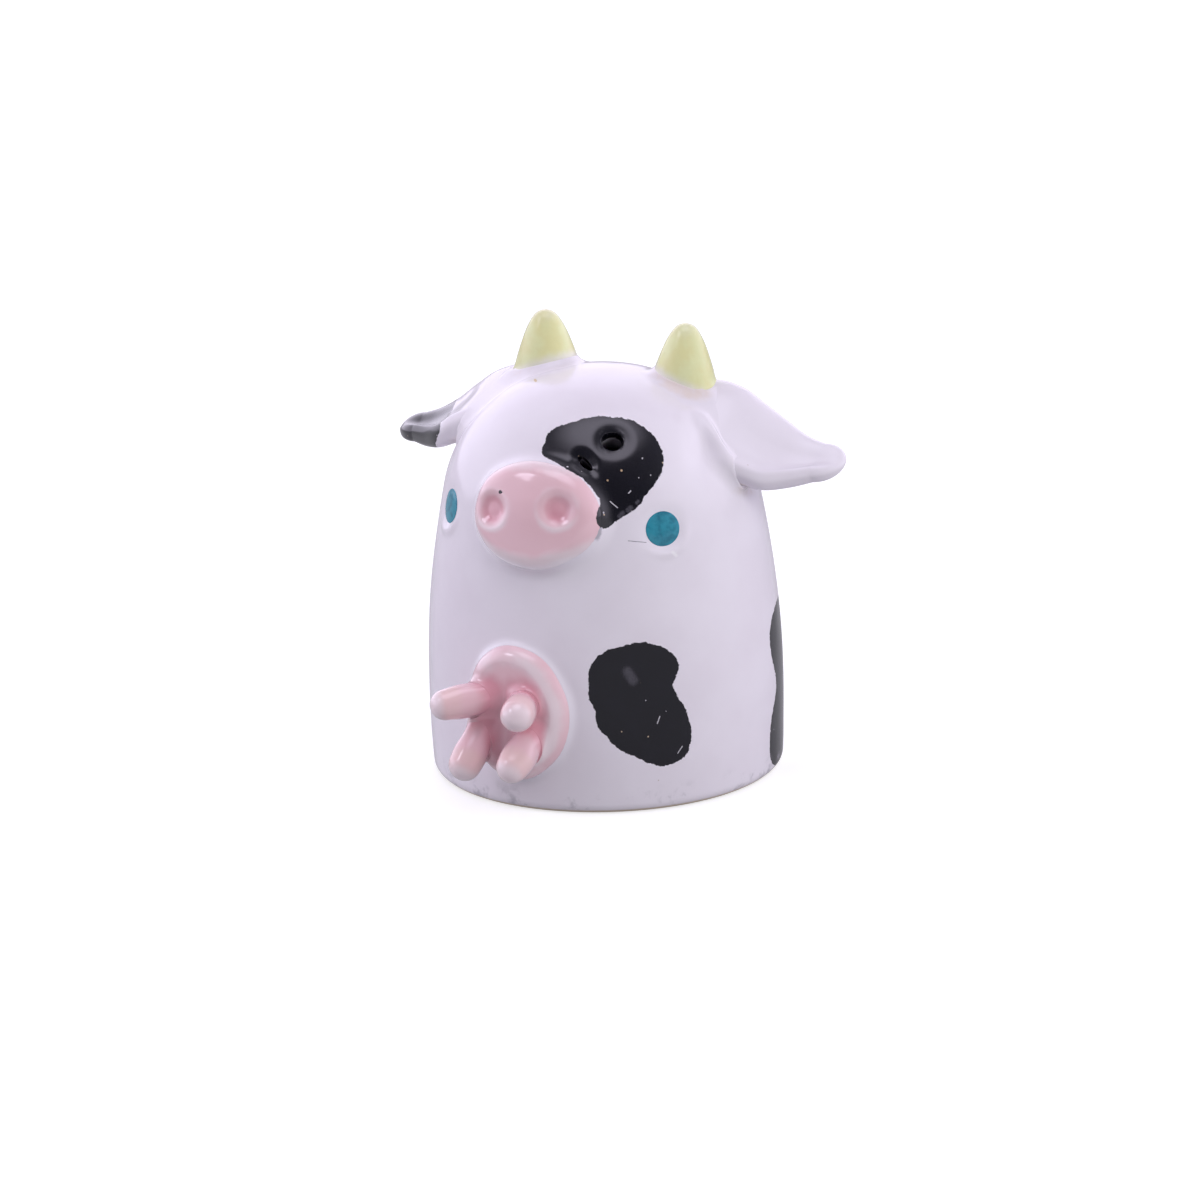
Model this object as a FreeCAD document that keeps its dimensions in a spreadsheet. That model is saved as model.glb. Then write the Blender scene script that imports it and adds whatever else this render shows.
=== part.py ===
"""A glazed ceramic cow shaker: a hollow dome with luted horns, ears, muzzle and udder.

Millimetres, +Z up, the origin at the centre of the foot on the table, the face towards -Y,
the cow's left side towards +X. Azimuths run from the face (-Y) towards the cow's left.
"""
import FreeCAD, Part
import math
import os
import Sketcher

VECTOR = FreeCAD.Vector

# Driving dimensions, in millimetres and degrees
SIZES = {
    # Thrown dome: three tangent arcs over a small foot corner
    "body_height": 57.2,
    "belly_radius": 25.0,
    "belly_height": 12.0,
    "flank_radius": 146.0,
    "crown_radius": 36.0,
    "crown_reach": 6.39,
    "foot_corner_radius": 1.6,
    "wall_thickness": 4.5,
    # Base slab, set into the foot, with the fill hole
    "base_recess": 3.4,
    "base_thickness": 3.6,
    "base_ledge": 0.7,
    "fill_hole_radius": 8.0,
    "fill_hole_bevel": 0.6,
    # Rubber stopper
    "stopper_clearance": 0.05,
    "flange_overlap": 2.5,
    "flange_thickness": 1.4,
    "plug_reach": 2.4,
    "plug_wall": 2.0,
    "plug_roof": 1.5,
    "plug_bevel": 0.8,
    "tab_length": 3.0,
    "tab_width": 6.0,
    "tab_bevel": 1.2,
    # Pour holes in the brow; each drop is a depth below the top of the dome
    "pour_hole_radius": 1.6,
    "upper_hole_drop": 5.35,
    "upper_hole_azimuth_degrees": 31.9,
    "lower_hole_drop": 7.8,
    "lower_hole_azimuth_degrees": 18.6,
    # Inlaid eyes
    "eye_radius": 2.6,
    "eye_thickness": 1.2,
    "eye_drop": 17.1,
    "eye_azimuth_degrees": 47.8,
    # Horns
    "horn_side": 10.5,
    "horn_back": 5.6,
    "horn_length": 10.4,
    "horn_sink": 1.5,
    "horn_tip_radius": 2.0,
    "horn_root_radius": 4.25,
    "horn_root_rise": 3.2,
    "horn_side_radius": 16.0,
    "horn_flare_width": 1.1,
    "horn_flare_radius": 5.0,
    "left_horn_lean_degrees": 4.0,
    "right_horn_lean_degrees": 0.5,
    # Ears
    "ear_root_side": 9.0,
    "ear_span": 34.4,
    "ear_root_back": 3.0,
    "ear_tip_back": 7.2,
    "ear_thickness": 7.0,
    "left_ear_root_drop": 7.4,
    "right_ear_root_drop": 6.4,
    "left_ear_tip_drop": 12.1,
    "right_ear_tip_drop": 13.4,
    "left_ear_width": 15.4,
    "right_ear_width": 13.6,
    "left_ear_tilt_degrees": 35.0,
    "right_ear_tilt_degrees": 18.0,
    # Muzzle
    "muzzle_width": 19.6,
    "muzzle_depth": 15.4,
    "muzzle_drop": 14.8,
    "muzzle_thickness": 2.6,
    "muzzle_round": 1.9,
    "muzzle_azimuth_degrees": 0.2,
    "nostril_radius": 2.1,
    "nostril_spacing": 10.2,
    "nostril_drop": 13.2,
    "nostril_dip": 1.3,
    # Udder and teats
    "udder_width": 16.0,
    "udder_depth": 19.4,
    "udder_height": 14.5,
    "udder_thickness": 2.2,
    "udder_round": 1.3,
    "udder_azimuth_degrees": -4.9,
    "teat_length": 7.2,
    "teat_root_radius": 2.1,
    "teat_tip_radius": 2.4,
    "teat_spacing_across": 8.0,
    "teat_spacing_up": 5.4,
    "teat_centre_height": 13.7,
    "teat_centre_azimuth_degrees": -7.0,
    # How far a cutting tool or a trimmed blank runs past the surface
    "overrun": 4.0,
}

# Ear stations from root to tip, as shares of the ear's reach, sweep, drop, width and thickness
EAR_STATION_SHARES = (
    (0.00, 0.00, 0.28, 0.84, 0.86),
    (0.20, 0.00, 0.00, 0.99, 1.00),
    (0.37, 0.00, 0.13, 1.00, 0.91),
    (0.51, 0.12, 0.44, 0.88, 0.77),
    (0.63, 0.24, 0.74, 0.78, 0.60),
    (0.75, 0.48, 0.93, 0.58, 0.50),
    (0.86, 0.71, 0.98, 0.42, 0.40),
    (0.95, 0.95, 1.00, 0.24, 0.30),
)

# Places of the teats across and up, as shares of half the spacing
TEAT_PLACE_SHARES = {
    "teat_upper_right": (-1.0, 1.0),
    "teat_lower_right": (-1.0, -1.0),
    "teat_upper_left": (1.0, 1.0),
    "teat_lower_left": (1.0, -1.0),
}

# Azimuth and rise of each teat's axis
TEAT_AXIS_DEGREES = {
    "teat_upper_right": (-48.0, -5.0),
    "teat_lower_right": (-15.0, -47.0),
    "teat_upper_left": (9.0, 1.0),
    "teat_lower_left": (-8.0, -31.0),
}

doc = FreeCAD.newDocument("cow_shaker")
sheet = doc.addObject("Spreadsheet::Sheet", "sizes")
for row, (alias, number) in enumerate(SIZES.items(), start=1):
    sheet.set(f"A{row}", alias)
    sheet.set(f"B{row}", str(number))
    sheet.setAlias(f"B{row}", alias)
doc.recompute()


class Size:
    """A number with the sheet expression that gives it."""

    def __init__(self, value, text):
        self.value = float(value)
        self.text = text

    @staticmethod
    def of(other):
        return other if isinstance(other, Size) else Size(other, str(other))

    def join(self, other, mark, value):
        return Size(value, f"({self.text} {mark} {Size.of(other).text})")

    def __add__(self, other):
        return self.join(other, "+", self.value + Size.of(other).value)

    def __sub__(self, other):
        return self.join(other, "-", self.value - Size.of(other).value)

    def __mul__(self, other):
        return self.join(other, "*", self.value * Size.of(other).value)

    def __truediv__(self, other):
        return self.join(other, "/", self.value / Size.of(other).value)


def size(alias):
    """The sheet's size of that name."""
    return Size(sheet.get(alias), f"{sheet.Name}.{alias}")


def bind(item, **sizes):
    """Tie an object's properties to the sheet."""
    for name, given in sizes.items():
        setattr(item, name, given.value)
        item.setExpression(name, given.text)
    return item


def add(kind, name, **sizes):
    """A new document object with its sizes tied to the sheet."""
    item = doc.addObject(kind, name)
    item.Label = name
    return bind(item, **sizes)


def boolean(kind, name, base, tool):
    """One solid cut from, or shared with, another."""
    item = add(kind, name)
    item.Base = base
    item.Tool = tool
    item.Refine = True
    return item


def joined(name, shapes):
    """Several solids made into one."""
    item = add("Part::MultiFuse", name)
    item.Shapes = shapes
    item.Refine = True
    return item


ZERO = Size(0, "0")
body_height = size("body_height")
belly_radius = size("belly_radius")
flank_radius = size("flank_radius")
crown_radius = size("crown_radius")
crown_reach = size("crown_reach")
wall = size("wall_thickness")
base_recess = size("base_recess")
slab_top = base_recess + size("base_thickness")
seat_radius = belly_radius - wall + size("base_ledge")
udder_height = size("udder_height")
muzzle_height = body_height - size("muzzle_drop")
overrun = size("overrun")


# Where the dome's surface lies
class Dome:
    """The half section's arc centres and joints, as plain numbers."""

    def __init__(self, grown=0.0):
        self.flank = VECTOR(belly_radius.value - flank_radius.value, size("belly_height").value, 0)
        self.crown = VECTOR(0, body_height.value - crown_radius.value, 0)
        reach = crown_reach.value
        outward = VECTOR(reach, math.sqrt(crown_radius.value ** 2 - reach ** 2), 0)
        apart = self.crown + outward - self.flank
        outward.normalize()
        spare = flank_radius.value ** 2 - apart.dot(apart)
        shoulder_radius = spare / (flank_radius.value - apart.dot(outward)) / 2
        self.shoulder = self.flank + apart - outward * shoulder_radius
        self.flank_radius = flank_radius.value + grown
        self.shoulder_radius = shoulder_radius + grown
        self.crown_radius = crown_radius.value + grown
        self.flank_joint = self.flank + self.toward(self.flank, self.shoulder) * self.flank_radius
        self.crown_joint = self.crown + self.toward(self.crown, self.shoulder) * self.crown_radius

    @staticmethod
    def toward(start, end):
        return (end - start).normalize()

    def arc_at(self, height):
        """Centre and radius of the arc that carries this height."""
        if height > self.crown_joint.y:
            return self.crown, self.crown_radius
        if height > self.flank_joint.y:
            return self.shoulder, self.shoulder_radius
        return self.flank, self.flank_radius

    def radius_at(self, height):
        """Distance from the axis at this height."""
        centre, radius = self.arc_at(height)
        return centre.x + math.sqrt(radius ** 2 - (height - centre.y) ** 2)

    def height_at(self, distance):
        """Height of the crown at this distance from the axis."""
        centre = self.crown if distance < self.crown_joint.x else self.shoulder
        radius = self.crown_radius if distance < self.crown_joint.x else self.shoulder_radius
        return centre.y + math.sqrt(radius ** 2 - (distance - centre.x) ** 2)

    def place(self, azimuth, height):
        """Placement on the skin: local Z outward, local X to the cow's left."""
        centre, radius = self.arc_at(height)
        distance = self.radius_at(height)
        rise = math.degrees(math.atan2(height - centre.y, distance - centre.x))
        spot = heading(azimuth) * distance + VECTOR(0, 0, height)
        return FreeCAD.Placement(spot, facing(azimuth, rise))


def heading(azimuth):
    """Level direction at this azimuth."""
    angle = math.radians(azimuth)
    return VECTOR(math.sin(angle), -math.cos(angle), 0)


def facing(azimuth, rise):
    """Rotation that turns local Z to this azimuth and rise, local X staying level."""
    angle = math.radians(rise)
    outward = heading(azimuth) * math.cos(angle) + VECTOR(0, 0, math.sin(angle))
    level = heading(azimuth + 90)
    return FreeCAD.Rotation(level, outward.cross(level), outward, "ZXY")


def along(placement, distance):
    """The placement moved along its own Z."""
    return placement * FreeCAD.Placement(VECTOR(0, 0, distance), FreeCAD.Rotation())


dome = Dome()


# Sketch helpers
def origin_plane(body, role):
    return next(item for item in body.Origin.OriginFeatures if item.Role == role)


def new_sketch(body, name, role="XZ_Plane"):
    """A sketch on one of its own body's origin planes."""
    sketch = body.newObject("Sketcher::SketchObject", name)
    sketch.AttachmentSupport = [(origin_plane(body, role), "")]
    sketch.MapMode = "FlatFace"
    return sketch


def dimension(sketch, kind, places, given):
    """A dimension of the sketch, tied to the sheet."""
    index = sketch.addConstraint(Sketcher.Constraint(kind, *places, given.value))
    sketch.setExpression(f"Constraints[{index}]", given.text)


def polygon(sketch, corners):
    """A closed outline whose corners are sheet sizes."""
    spots = [VECTOR(x.value, y.value, 0) for x, y in corners]
    for start, end in zip(spots, spots[1:] + spots[:1]):
        sketch.addGeometry(Part.LineSegment(start, end), False)
    count = len(corners)
    for line in range(count):
        sketch.addConstraint(Sketcher.Constraint("Coincident", line, 2, (line + 1) % count, 1))
    for line, (x, y) in enumerate(corners):
        fix(sketch, line, "DistanceX", -2, x)
        fix(sketch, line, "DistanceY", -1, y)


def fix(sketch, line, kind, axis, given):
    """Hold one coordinate of a line's start, measured from the sketch's origin."""
    if given.value:
        dimension(sketch, kind, (-1, 1, line, 1), given)
    else:
        sketch.addConstraint(Sketcher.Constraint("PointOnObject", line, 1, axis))


def arc(centre, radius, start, end):
    """Counter-clockwise arc between two points round a centre."""
    angles = [math.atan2(spot.y - centre.y, spot.x - centre.x) for spot in (start, end)]
    return Part.ArcOfCircle(Part.Circle(centre, VECTOR(0, 0, 1), radius), *angles)


def revolved(body, sketch):
    """The sketch turned once round the body's upright axis."""
    turn = body.newObject("PartDesign::Revolution", f"{sketch.Name}_turn")
    turn.Profile = sketch
    turn.ReferenceAxis = (sketch, ["V_Axis"])
    turn.Angle = 360
    body.Tip = turn
    return body


def skin_arcs(sketch, grown, low_end, partner=None):
    """Flank, shoulder and crown arcs, grown by a size; returns the index of the first.

    With a partner, the arcs take the centres of the arcs that start at that index.
    """
    form = Dome(grown.value)
    top = VECTOR(0, form.crown.y + form.crown_radius, 0)
    first = sketch.addGeometry(arc(form.flank, form.flank_radius, low_end, form.flank_joint), False)
    sketch.addGeometry(arc(form.shoulder, form.shoulder_radius, form.flank_joint, form.crown_joint), False)
    sketch.addGeometry(arc(form.crown, form.crown_radius, form.crown_joint, top), False)
    sketch.addConstraint(Sketcher.Constraint("Tangent", first, 2, first + 1, 1))
    sketch.addConstraint(Sketcher.Constraint("Tangent", first + 1, 2, first + 2, 1))
    sketch.addConstraint(Sketcher.Constraint("PointOnObject", first + 2, 2, -2))
    dimension(sketch, "Radius", (first,), flank_radius + grown)
    dimension(sketch, "Radius", (first + 2,), crown_radius + grown)
    dimension(sketch, "DistanceX", (-1, 1, first + 2, 1), crown_reach * (crown_radius + grown) / crown_radius)
    if partner is None:
        sketch.addConstraint(Sketcher.Constraint("PointOnObject", first + 2, 3, -2))
        dimension(sketch, "DistanceY", (-1, 1, first + 2, 2), body_height + grown)
        dimension(sketch, "DistanceY", (-1, 1, first, 3), size("belly_height"))
        dimension(sketch, "DistanceX", (first, 3, -1, 1), flank_radius - belly_radius)
    else:
        meet(sketch, first, 3, partner, 3)
        meet(sketch, first + 2, 3, partner + 2, 3)
    return first


def corner_centre(form):
    """Centre of the rounded foot corner, which touches the flank and the table."""
    radius = size("foot_corner_radius").value
    reach = form.flank_radius - radius
    drop = form.flank.y - radius
    return VECTOR(form.flank.x + math.sqrt(reach ** 2 - drop ** 2), radius, 0)


def flank_foot(grown):
    """Lower end of the flank arc: where the foot corner takes over."""
    form = Dome(grown.value)
    return form.flank + Dome.toward(form.flank, corner_centre(form)) * form.flank_radius


def foot_corner(sketch, skin, grown):
    """Rounded corner between the skin's flank and the table; returns its index."""
    centre = corner_centre(Dome(grown.value))
    radius = size("foot_corner_radius")
    edge = arc(centre, radius.value, VECTOR(centre.x, 0, 0), flank_foot(grown))
    corner = sketch.addGeometry(edge, False)
    sketch.addConstraint(Sketcher.Constraint("Tangent", corner, 2, skin, 1))
    dimension(sketch, "Radius", (corner,), radius)
    return corner


def arc_through(start, end, radius):
    """Counter-clockwise arc of this radius from one point to the other."""
    half = (end - start) * 0.5
    inward = VECTOR(-half.y, half.x, 0).normalize()
    centre = start + half + inward * math.sqrt(radius ** 2 - half.Length ** 2)
    return arc(centre, radius, start, end)


def line(sketch, start, end, kind=None):
    """A straight edge of a sketch."""
    index = sketch.addGeometry(Part.LineSegment(start, end), False)
    if kind:
        sketch.addConstraint(Sketcher.Constraint(kind, index))
    return index


def meet(sketch, *ends):
    """Join the ends (edge, end, edge, end) of two edges."""
    sketch.addConstraint(Sketcher.Constraint("Coincident", *ends))


def solid_form(name, grown=ZERO):
    """The whole dome as one solid, grown by a size: the tool that trims what is luted on."""
    body = add("PartDesign::Body", name)
    sketch = new_sketch(body, f"{name}_outline")
    skin = skin_arcs(sketch, grown, flank_foot(grown))
    corner = foot_corner(sketch, skin, grown)
    foot = line(sketch, VECTOR(0, 0, 0), sketch.getPoint(corner, 1), "Horizontal")
    axis = line(sketch, sketch.getPoint(skin + 2, 2), VECTOR(0, 0, 0))
    sketch.addConstraint(Sketcher.Constraint("Tangent", foot, 2, corner, 1))
    meet(sketch, axis, 1, skin + 2, 2)
    meet(sketch, axis, 2, foot, 1)
    meet(sketch, foot, 1, -1, 1)
    return revolved(body, sketch)


# Hollow dome
def shell_blank():
    """The dome's wall, its foot ring and the seat for the base slab."""
    body = add("PartDesign::Body", "shell_blank")
    sketch = new_sketch(body, "shell_outline")
    inward = ZERO - wall
    inner = Dome(inward.value)
    skin = skin_arcs(sketch, ZERO, flank_foot(ZERO))
    corner = foot_corner(sketch, skin, ZERO)
    ledge_end = VECTOR(inner.radius_at(slab_top.value), slab_top.value, 0)
    lining = skin_arcs(sketch, inward, ledge_end, skin)
    seat_foot = VECTOR(seat_radius.value, 0, 0)
    seat_end = VECTOR(seat_radius.value, slab_top.value, 0)
    foot = line(sketch, seat_foot, sketch.getPoint(corner, 1), "Horizontal")
    seat_wall = line(sketch, seat_foot, seat_end, "Vertical")
    ledge = line(sketch, seat_end, ledge_end, "Horizontal")
    axis = line(sketch, sketch.getPoint(skin + 2, 2), sketch.getPoint(lining + 2, 2))
    sketch.addConstraint(Sketcher.Constraint("Tangent", foot, 2, corner, 1))
    sketch.addConstraint(Sketcher.Constraint("PointOnObject", foot, 1, -1))
    meet(sketch, foot, 1, seat_wall, 1)
    meet(sketch, seat_wall, 2, ledge, 1)
    meet(sketch, ledge, 2, lining, 1)
    meet(sketch, axis, 1, skin + 2, 2)
    meet(sketch, axis, 2, lining + 2, 2)
    dimension(sketch, "DistanceX", (-1, 1, seat_wall, 1), seat_radius)
    dimension(sketch, "DistanceY", (-1, 1, seat_wall, 2), slab_top)
    return revolved(body, sketch)


dome_form = solid_form("dome_form")


# Eyes, inlaid flush in the dome's skin
def eye_blank(name, azimuth):
    """A short turquoise plug that reaches past the skin."""
    plug = add("Part::Cylinder", name, Radius=size("eye_radius"), Height=size("eye_thickness") + overrun)
    height = body_height - size("eye_drop")
    plug.Placement = along(dome.place(azimuth, height.value), -size("eye_thickness").value)
    return plug


eye_turn = size("eye_azimuth_degrees").value
eye_blanks = {
    "left_eye": eye_blank("left_eye_blank", eye_turn),
    "right_eye": eye_blank("right_eye_blank", -eye_turn),
}


# Pour holes, pierced square to the skin
def pour_hole(name, prefix):
    """A drill through the wall at the place that the sheet names."""
    drill = add("Part::Cylinder", name, Radius=size("pour_hole_radius"), Height=wall + overrun * 2)
    azimuth = size(f"{prefix}_azimuth_degrees").value
    height = body_height - size(f"{prefix}_drop")
    spot = dome.place(azimuth, height.value)
    drill.Placement = along(spot, -(wall + overrun).value)
    return drill


holes = [pour_hole("upper_drill", "upper_hole"), pour_hole("lower_drill", "lower_hole")]
shell_cuts = joined("shell_cuts", holes + list(eye_blanks.values()))
nodes = {"body_shell": boolean("Part::Cut", "body_shell", shell_blank(), shell_cuts)}
for eye_name, blank in eye_blanks.items():
    nodes[eye_name] = boolean("Part::Common", eye_name, blank, dome_form)


# Base slab with the fill hole
def base_slab():
    """A disc luted into the foot, its fill hole bevelled on both sides."""
    body = add("PartDesign::Body", "base_slab")
    sketch = new_sketch(body, "slab_outline")
    hole = size("fill_hole_radius")
    bevel = size("fill_hole_bevel")
    polygon(sketch, [
        (hole + bevel, base_recess),
        (seat_radius, base_recess),
        (seat_radius, slab_top),
        (hole + bevel, slab_top),
        (hole, slab_top - bevel),
        (hole, base_recess + bevel),
    ])
    return revolved(body, sketch)


nodes["base_slab"] = base_slab()


# Rubber stopper: a hollow cup with a flange and a pull tab
def stopper():
    """The plug fills the fill hole but for its clearance; the flange lies under the slab."""
    body = add("PartDesign::Body", "stopper")
    sketch = new_sketch(body, "stopper_outline")
    gap = size("stopper_clearance")
    flange = size("fill_hole_radius") + size("flange_overlap")
    flange_top = base_recess - gap
    flange_base = flange_top - size("flange_thickness")
    plug = size("fill_hole_radius") - gap
    plug_top = slab_top + size("plug_reach")
    bevel = size("plug_bevel")
    hollow = plug - size("plug_wall")
    hollow_top = plug_top - size("plug_roof")
    polygon(sketch, [
        (hollow, flange_base),
        (flange, flange_base),
        (flange, flange_top),
        (plug, flange_top),
        (plug, plug_top - bevel),
        (plug - bevel, plug_top),
        (ZERO, plug_top),
        (ZERO, hollow_top),
        (hollow, hollow_top),
    ])
    revolved(body, sketch)
    tab_sketch = new_sketch(body, "tab_outline", "XY_Plane")
    tab_sketch.AttachmentOffset = FreeCAD.Placement(VECTOR(0, 0, flange_base.value), FreeCAD.Rotation())
    tab_sketch.setExpression("AttachmentOffset.Base.z", flange_base.text)
    root = (hollow + flange) / 2
    tip = flange + size("tab_length")
    half = size("tab_width") / 2
    corner = size("tab_bevel")
    polygon(tab_sketch, [
        (ZERO - half, root),
        (half, root),
        (half, tip - corner),
        (half - corner, tip),
        (ZERO - half + corner, tip),
        (ZERO - half, tip - corner),
    ])
    tab = body.newObject("PartDesign::Pad", "tab_pad")
    tab.Profile = tab_sketch
    bind(tab, Length=size("flange_thickness"))
    body.Tip = tab
    return body


nodes["stopper"] = stopper()


# Horns
def horn_blank(name):
    """A pinched cone with a rounded tip and a flared root that runs on into the dome."""
    body = add("PartDesign::Body", f"{name}_blank")
    sketch = new_sketch(body, f"{name}_outline")
    length = size("horn_length")
    tip = size("horn_tip_radius")
    root = size("horn_root_radius")
    rise = size("horn_root_rise")
    side = size("horn_side_radius")
    flare = size("horn_flare_radius")
    foot = root + size("horn_flare_width")
    top = VECTOR(0, length.value, 0)
    tip_centre = top - VECTOR(0, tip.value, 0)
    tip_end = tip_centre + VECTOR(tip.value, 0, 0)
    root_end = VECTOR(root.value, rise.value, 0)
    foot_end = VECTOR(foot.value, 0, 0)
    low_end = VECTOR(foot.value, -overrun.value, 0)
    sketch.addGeometry(arc(tip_centre, tip.value, tip_end, top), False)
    sketch.addGeometry(arc_through(root_end, tip_end, side.value), False)
    sketch.addGeometry(arc_through(root_end, foot_end, flare.value), False)
    line(sketch, foot_end, low_end, "Vertical")
    line(sketch, low_end, VECTOR(0, low_end.y, 0), "Horizontal")
    line(sketch, VECTOR(0, low_end.y, 0), top)
    sketch.addConstraint(Sketcher.Constraint("Tangent", 1, 2, 0, 1))
    meet(sketch, 2, 1, 1, 1)
    meet(sketch, 3, 1, 2, 2)
    meet(sketch, 4, 1, 3, 2)
    meet(sketch, 5, 1, 4, 2)
    meet(sketch, 5, 2, 0, 2)
    for edge, end in ((0, 3), (0, 2), (4, 2)):
        sketch.addConstraint(Sketcher.Constraint("PointOnObject", edge, end, -2))
    sketch.addConstraint(Sketcher.Constraint("PointOnObject", 2, 2, -1))
    dimension(sketch, "Radius", (0,), tip)
    dimension(sketch, "Radius", (1,), side)
    dimension(sketch, "Radius", (2,), flare)
    dimension(sketch, "DistanceY", (-1, 1, 0, 2), length)
    dimension(sketch, "DistanceX", (-1, 1, 1, 1), root)
    dimension(sketch, "DistanceY", (-1, 1, 1, 1), rise)
    dimension(sketch, "DistanceX", (-1, 1, 2, 2), foot)
    dimension(sketch, "DistanceY", (3, 2, -1, 1), overrun)
    return revolved(body, sketch)


def horn(name, side):
    """A horn on its side of the crown, leaning outward, trimmed to the dome's skin."""
    across = size("horn_side").value * side
    back = size("horn_back").value
    seat = dome.height_at(math.hypot(across, back)) - size("horn_sink").value
    lean = size(f"{name}_lean_degrees").value * side
    blank = horn_blank(name)
    blank.Placement = FreeCAD.Placement(VECTOR(across, back, seat), FreeCAD.Rotation(VECTOR(0, 1, 0), lean))
    return boolean("Part::Cut", name, blank, dome_form)


LEFT = 1
RIGHT = -1
nodes["left_horn"] = horn("left_horn", LEFT)
nodes["right_horn"] = horn("right_horn", RIGHT)


# Ears
def between(start, end, share):
    """The number that lies this share of the way from one to the other."""
    return start + (end - start) * share


def slot(name, width, thickness):
    """A flat oval with round ends: two straight edges and two half circles."""
    sketch = add("Sketcher::SketchObject", name)
    end = thickness / 2
    run = (width - thickness) / 2
    right = VECTOR(run.value, 0, 0)
    rise = VECTOR(0, end.value, 0)
    sketch.addGeometry(arc(right, end.value, right - rise, right + rise), False)
    line(sketch, right + rise, rise - right, "Horizontal")
    sketch.addGeometry(arc(right * -1, end.value, rise - right, (right + rise) * -1), False)
    line(sketch, (right + rise) * -1, right - rise, "Horizontal")
    for edge in range(4):
        sketch.addConstraint(Sketcher.Constraint("Tangent", edge, 2, (edge + 1) % 4, 1))
    sketch.addConstraint(Sketcher.Constraint("Symmetric", 0, 3, 2, 3, -1, 1))
    dimension(sketch, "Radius", (0,), end)
    dimension(sketch, "DistanceX", (-1, 1, 0, 3), run)
    return sketch


def ear(name, side):
    """A leaf-shaped flap, thick at the root, lofted through its sections out to its tip.

    Both ears follow the left ear's fall; a lower tip bends the last stretch down.
    """
    width = size(f"{name}_width")
    thickness = size("ear_thickness")
    root_height = body_height - size(f"{name}_root_drop")
    tip_height = body_height - size("left_ear_tip_drop")
    root = VECTOR(size("ear_root_side").value, size("ear_root_back").value, root_height.value)
    tip = VECTOR(size("ear_span").value, size("ear_tip_back").value, tip_height.value)
    sag = size(f"{name}_tip_drop").value - size("left_ear_tip_drop").value
    tilt = math.radians(size(f"{name}_tilt_degrees").value)
    across = VECTOR(0, math.cos(tilt), math.sin(tilt))
    outward = VECTOR(side, 0, 0)
    turn = FreeCAD.Rotation(across, outward.cross(across), outward, "ZXY")
    sections = []
    for reach, sweep, drop, width_share, thickness_share in EAR_STATION_SHARES:
        section = slot(f"{name}_section_{len(sections)}", width * width_share, thickness * thickness_share)
        spot = VECTOR(
            side * between(root.x, tip.x, reach),
            between(root.y, tip.y, sweep),
            between(root.z, tip.z, drop) - sag * reach ** 4,
        )
        section.Placement = FreeCAD.Placement(spot, turn)
        sections.append(section)
    end = add("Part::Vertex", f"{name}_tip")
    end.Placement = FreeCAD.Placement(VECTOR(side * tip.x, tip.y, tip.z - sag), FreeCAD.Rotation())
    blank = add("Part::Loft", f"{name}_blank")
    blank.Sections = sections + [end]
    blank.Solid = True
    blank.Ruled = False
    beside = nodes["left_horn" if side == LEFT else "right_horn"]
    return boolean("Part::Cut", name, blank, joined(f"{name}_cuts", [dome_form, beside]))


nodes["left_ear"] = ear("left_ear", LEFT)
nodes["right_ear"] = ear("right_ear", RIGHT)


# Oval pads
def oval_block(name, width, height, face):
    """An oval block whose front lies at the face's placement and whose back runs well inward."""
    depth = overrun + width / 2
    oval = add("Part::Ellipse", f"{name}_oval")
    spot = along(face, -depth.value)
    if width.value >= height.value:
        bind(oval, MajorRadius=width / 2, MinorRadius=height / 2)
        oval.Placement = spot
    else:
        bind(oval, MajorRadius=height / 2, MinorRadius=width / 2)
        quarter = FreeCAD.Rotation(VECTOR(0, 0, 1), 90)
        oval.Placement = spot * FreeCAD.Placement(VECTOR(0, 0, 0), quarter)
    block = add("Part::Extrusion", f"{name}_block")
    block.Base = oval
    block.DirMode = "Custom"
    block.Dir = face.Rotation.multVec(VECTOR(0, 0, 1))
    block.Solid = True
    return bind(block, LengthFwd=depth)


def rounded(name, base, radius, chosen):
    """The base with the chosen edges rounded."""
    doc.recompute()
    item = add("Part::Fillet", name)
    item.Base = base
    item.Edges = [
        (index, radius.value, radius.value)
        for index, edge in enumerate(base.Shape.Edges, start=1)
        if chosen(edge)
    ]
    return item


def oval_pad(name, height):
    """An oval pad of even thickness laid on the dome at this height, its front rim rounded."""
    thickness = size(f"{name}_thickness")
    azimuth = size(f"{name}_azimuth_degrees").value
    face = along(dome.place(azimuth, height.value), overrun.value)
    block = oval_block(name, size(f"{name}_width"), size(f"{name}_depth"), face)
    layer = boolean("Part::Common", f"{name}_layer", block, solid_form(f"{name}_skin", thickness))
    outside = Dome(thickness.value / 2)

    def rim(edge):
        return all(math.hypot(spot.x, spot.y) > outside.radius_at(spot.z) for spot in edge.discretize(9))

    return rounded(f"{name}_rounded", layer, size(f"{name}_round"), rim)


# Muzzle with two pressed nostrils
def muzzle():
    """An oval pad on the face, with a ball-shaped dip for each nostril."""
    pad = oval_pad("muzzle", muzzle_height)
    front = Dome(size("muzzle_thickness").value)
    height = (body_height - size("nostril_drop")).value
    azimuth = size("muzzle_azimuth_degrees").value
    turn = math.degrees(size("nostril_spacing").value / 2 / front.radius_at(height))
    lift = size("nostril_radius").value - size("nostril_dip").value
    dips = []
    for side in (LEFT, RIGHT):
        dip = add("Part::Sphere", f"nostril_tool_{len(dips)}", Radius=size("nostril_radius"))
        dip.Placement = along(front.place(azimuth + side * turn, height), lift)
        dips.append(dip)
    return boolean("Part::Cut", "muzzle", pad, joined("muzzle_cuts", dips + [dome_form]))


nodes["muzzle"] = muzzle()


# Udder pad and its four teats
nodes["udder_pad"] = boolean("Part::Cut", "udder_pad", oval_pad("udder", udder_height), dome_form)
teat_bed = joined("teat_bed", [nodes["udder_pad"], dome_form])


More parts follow.
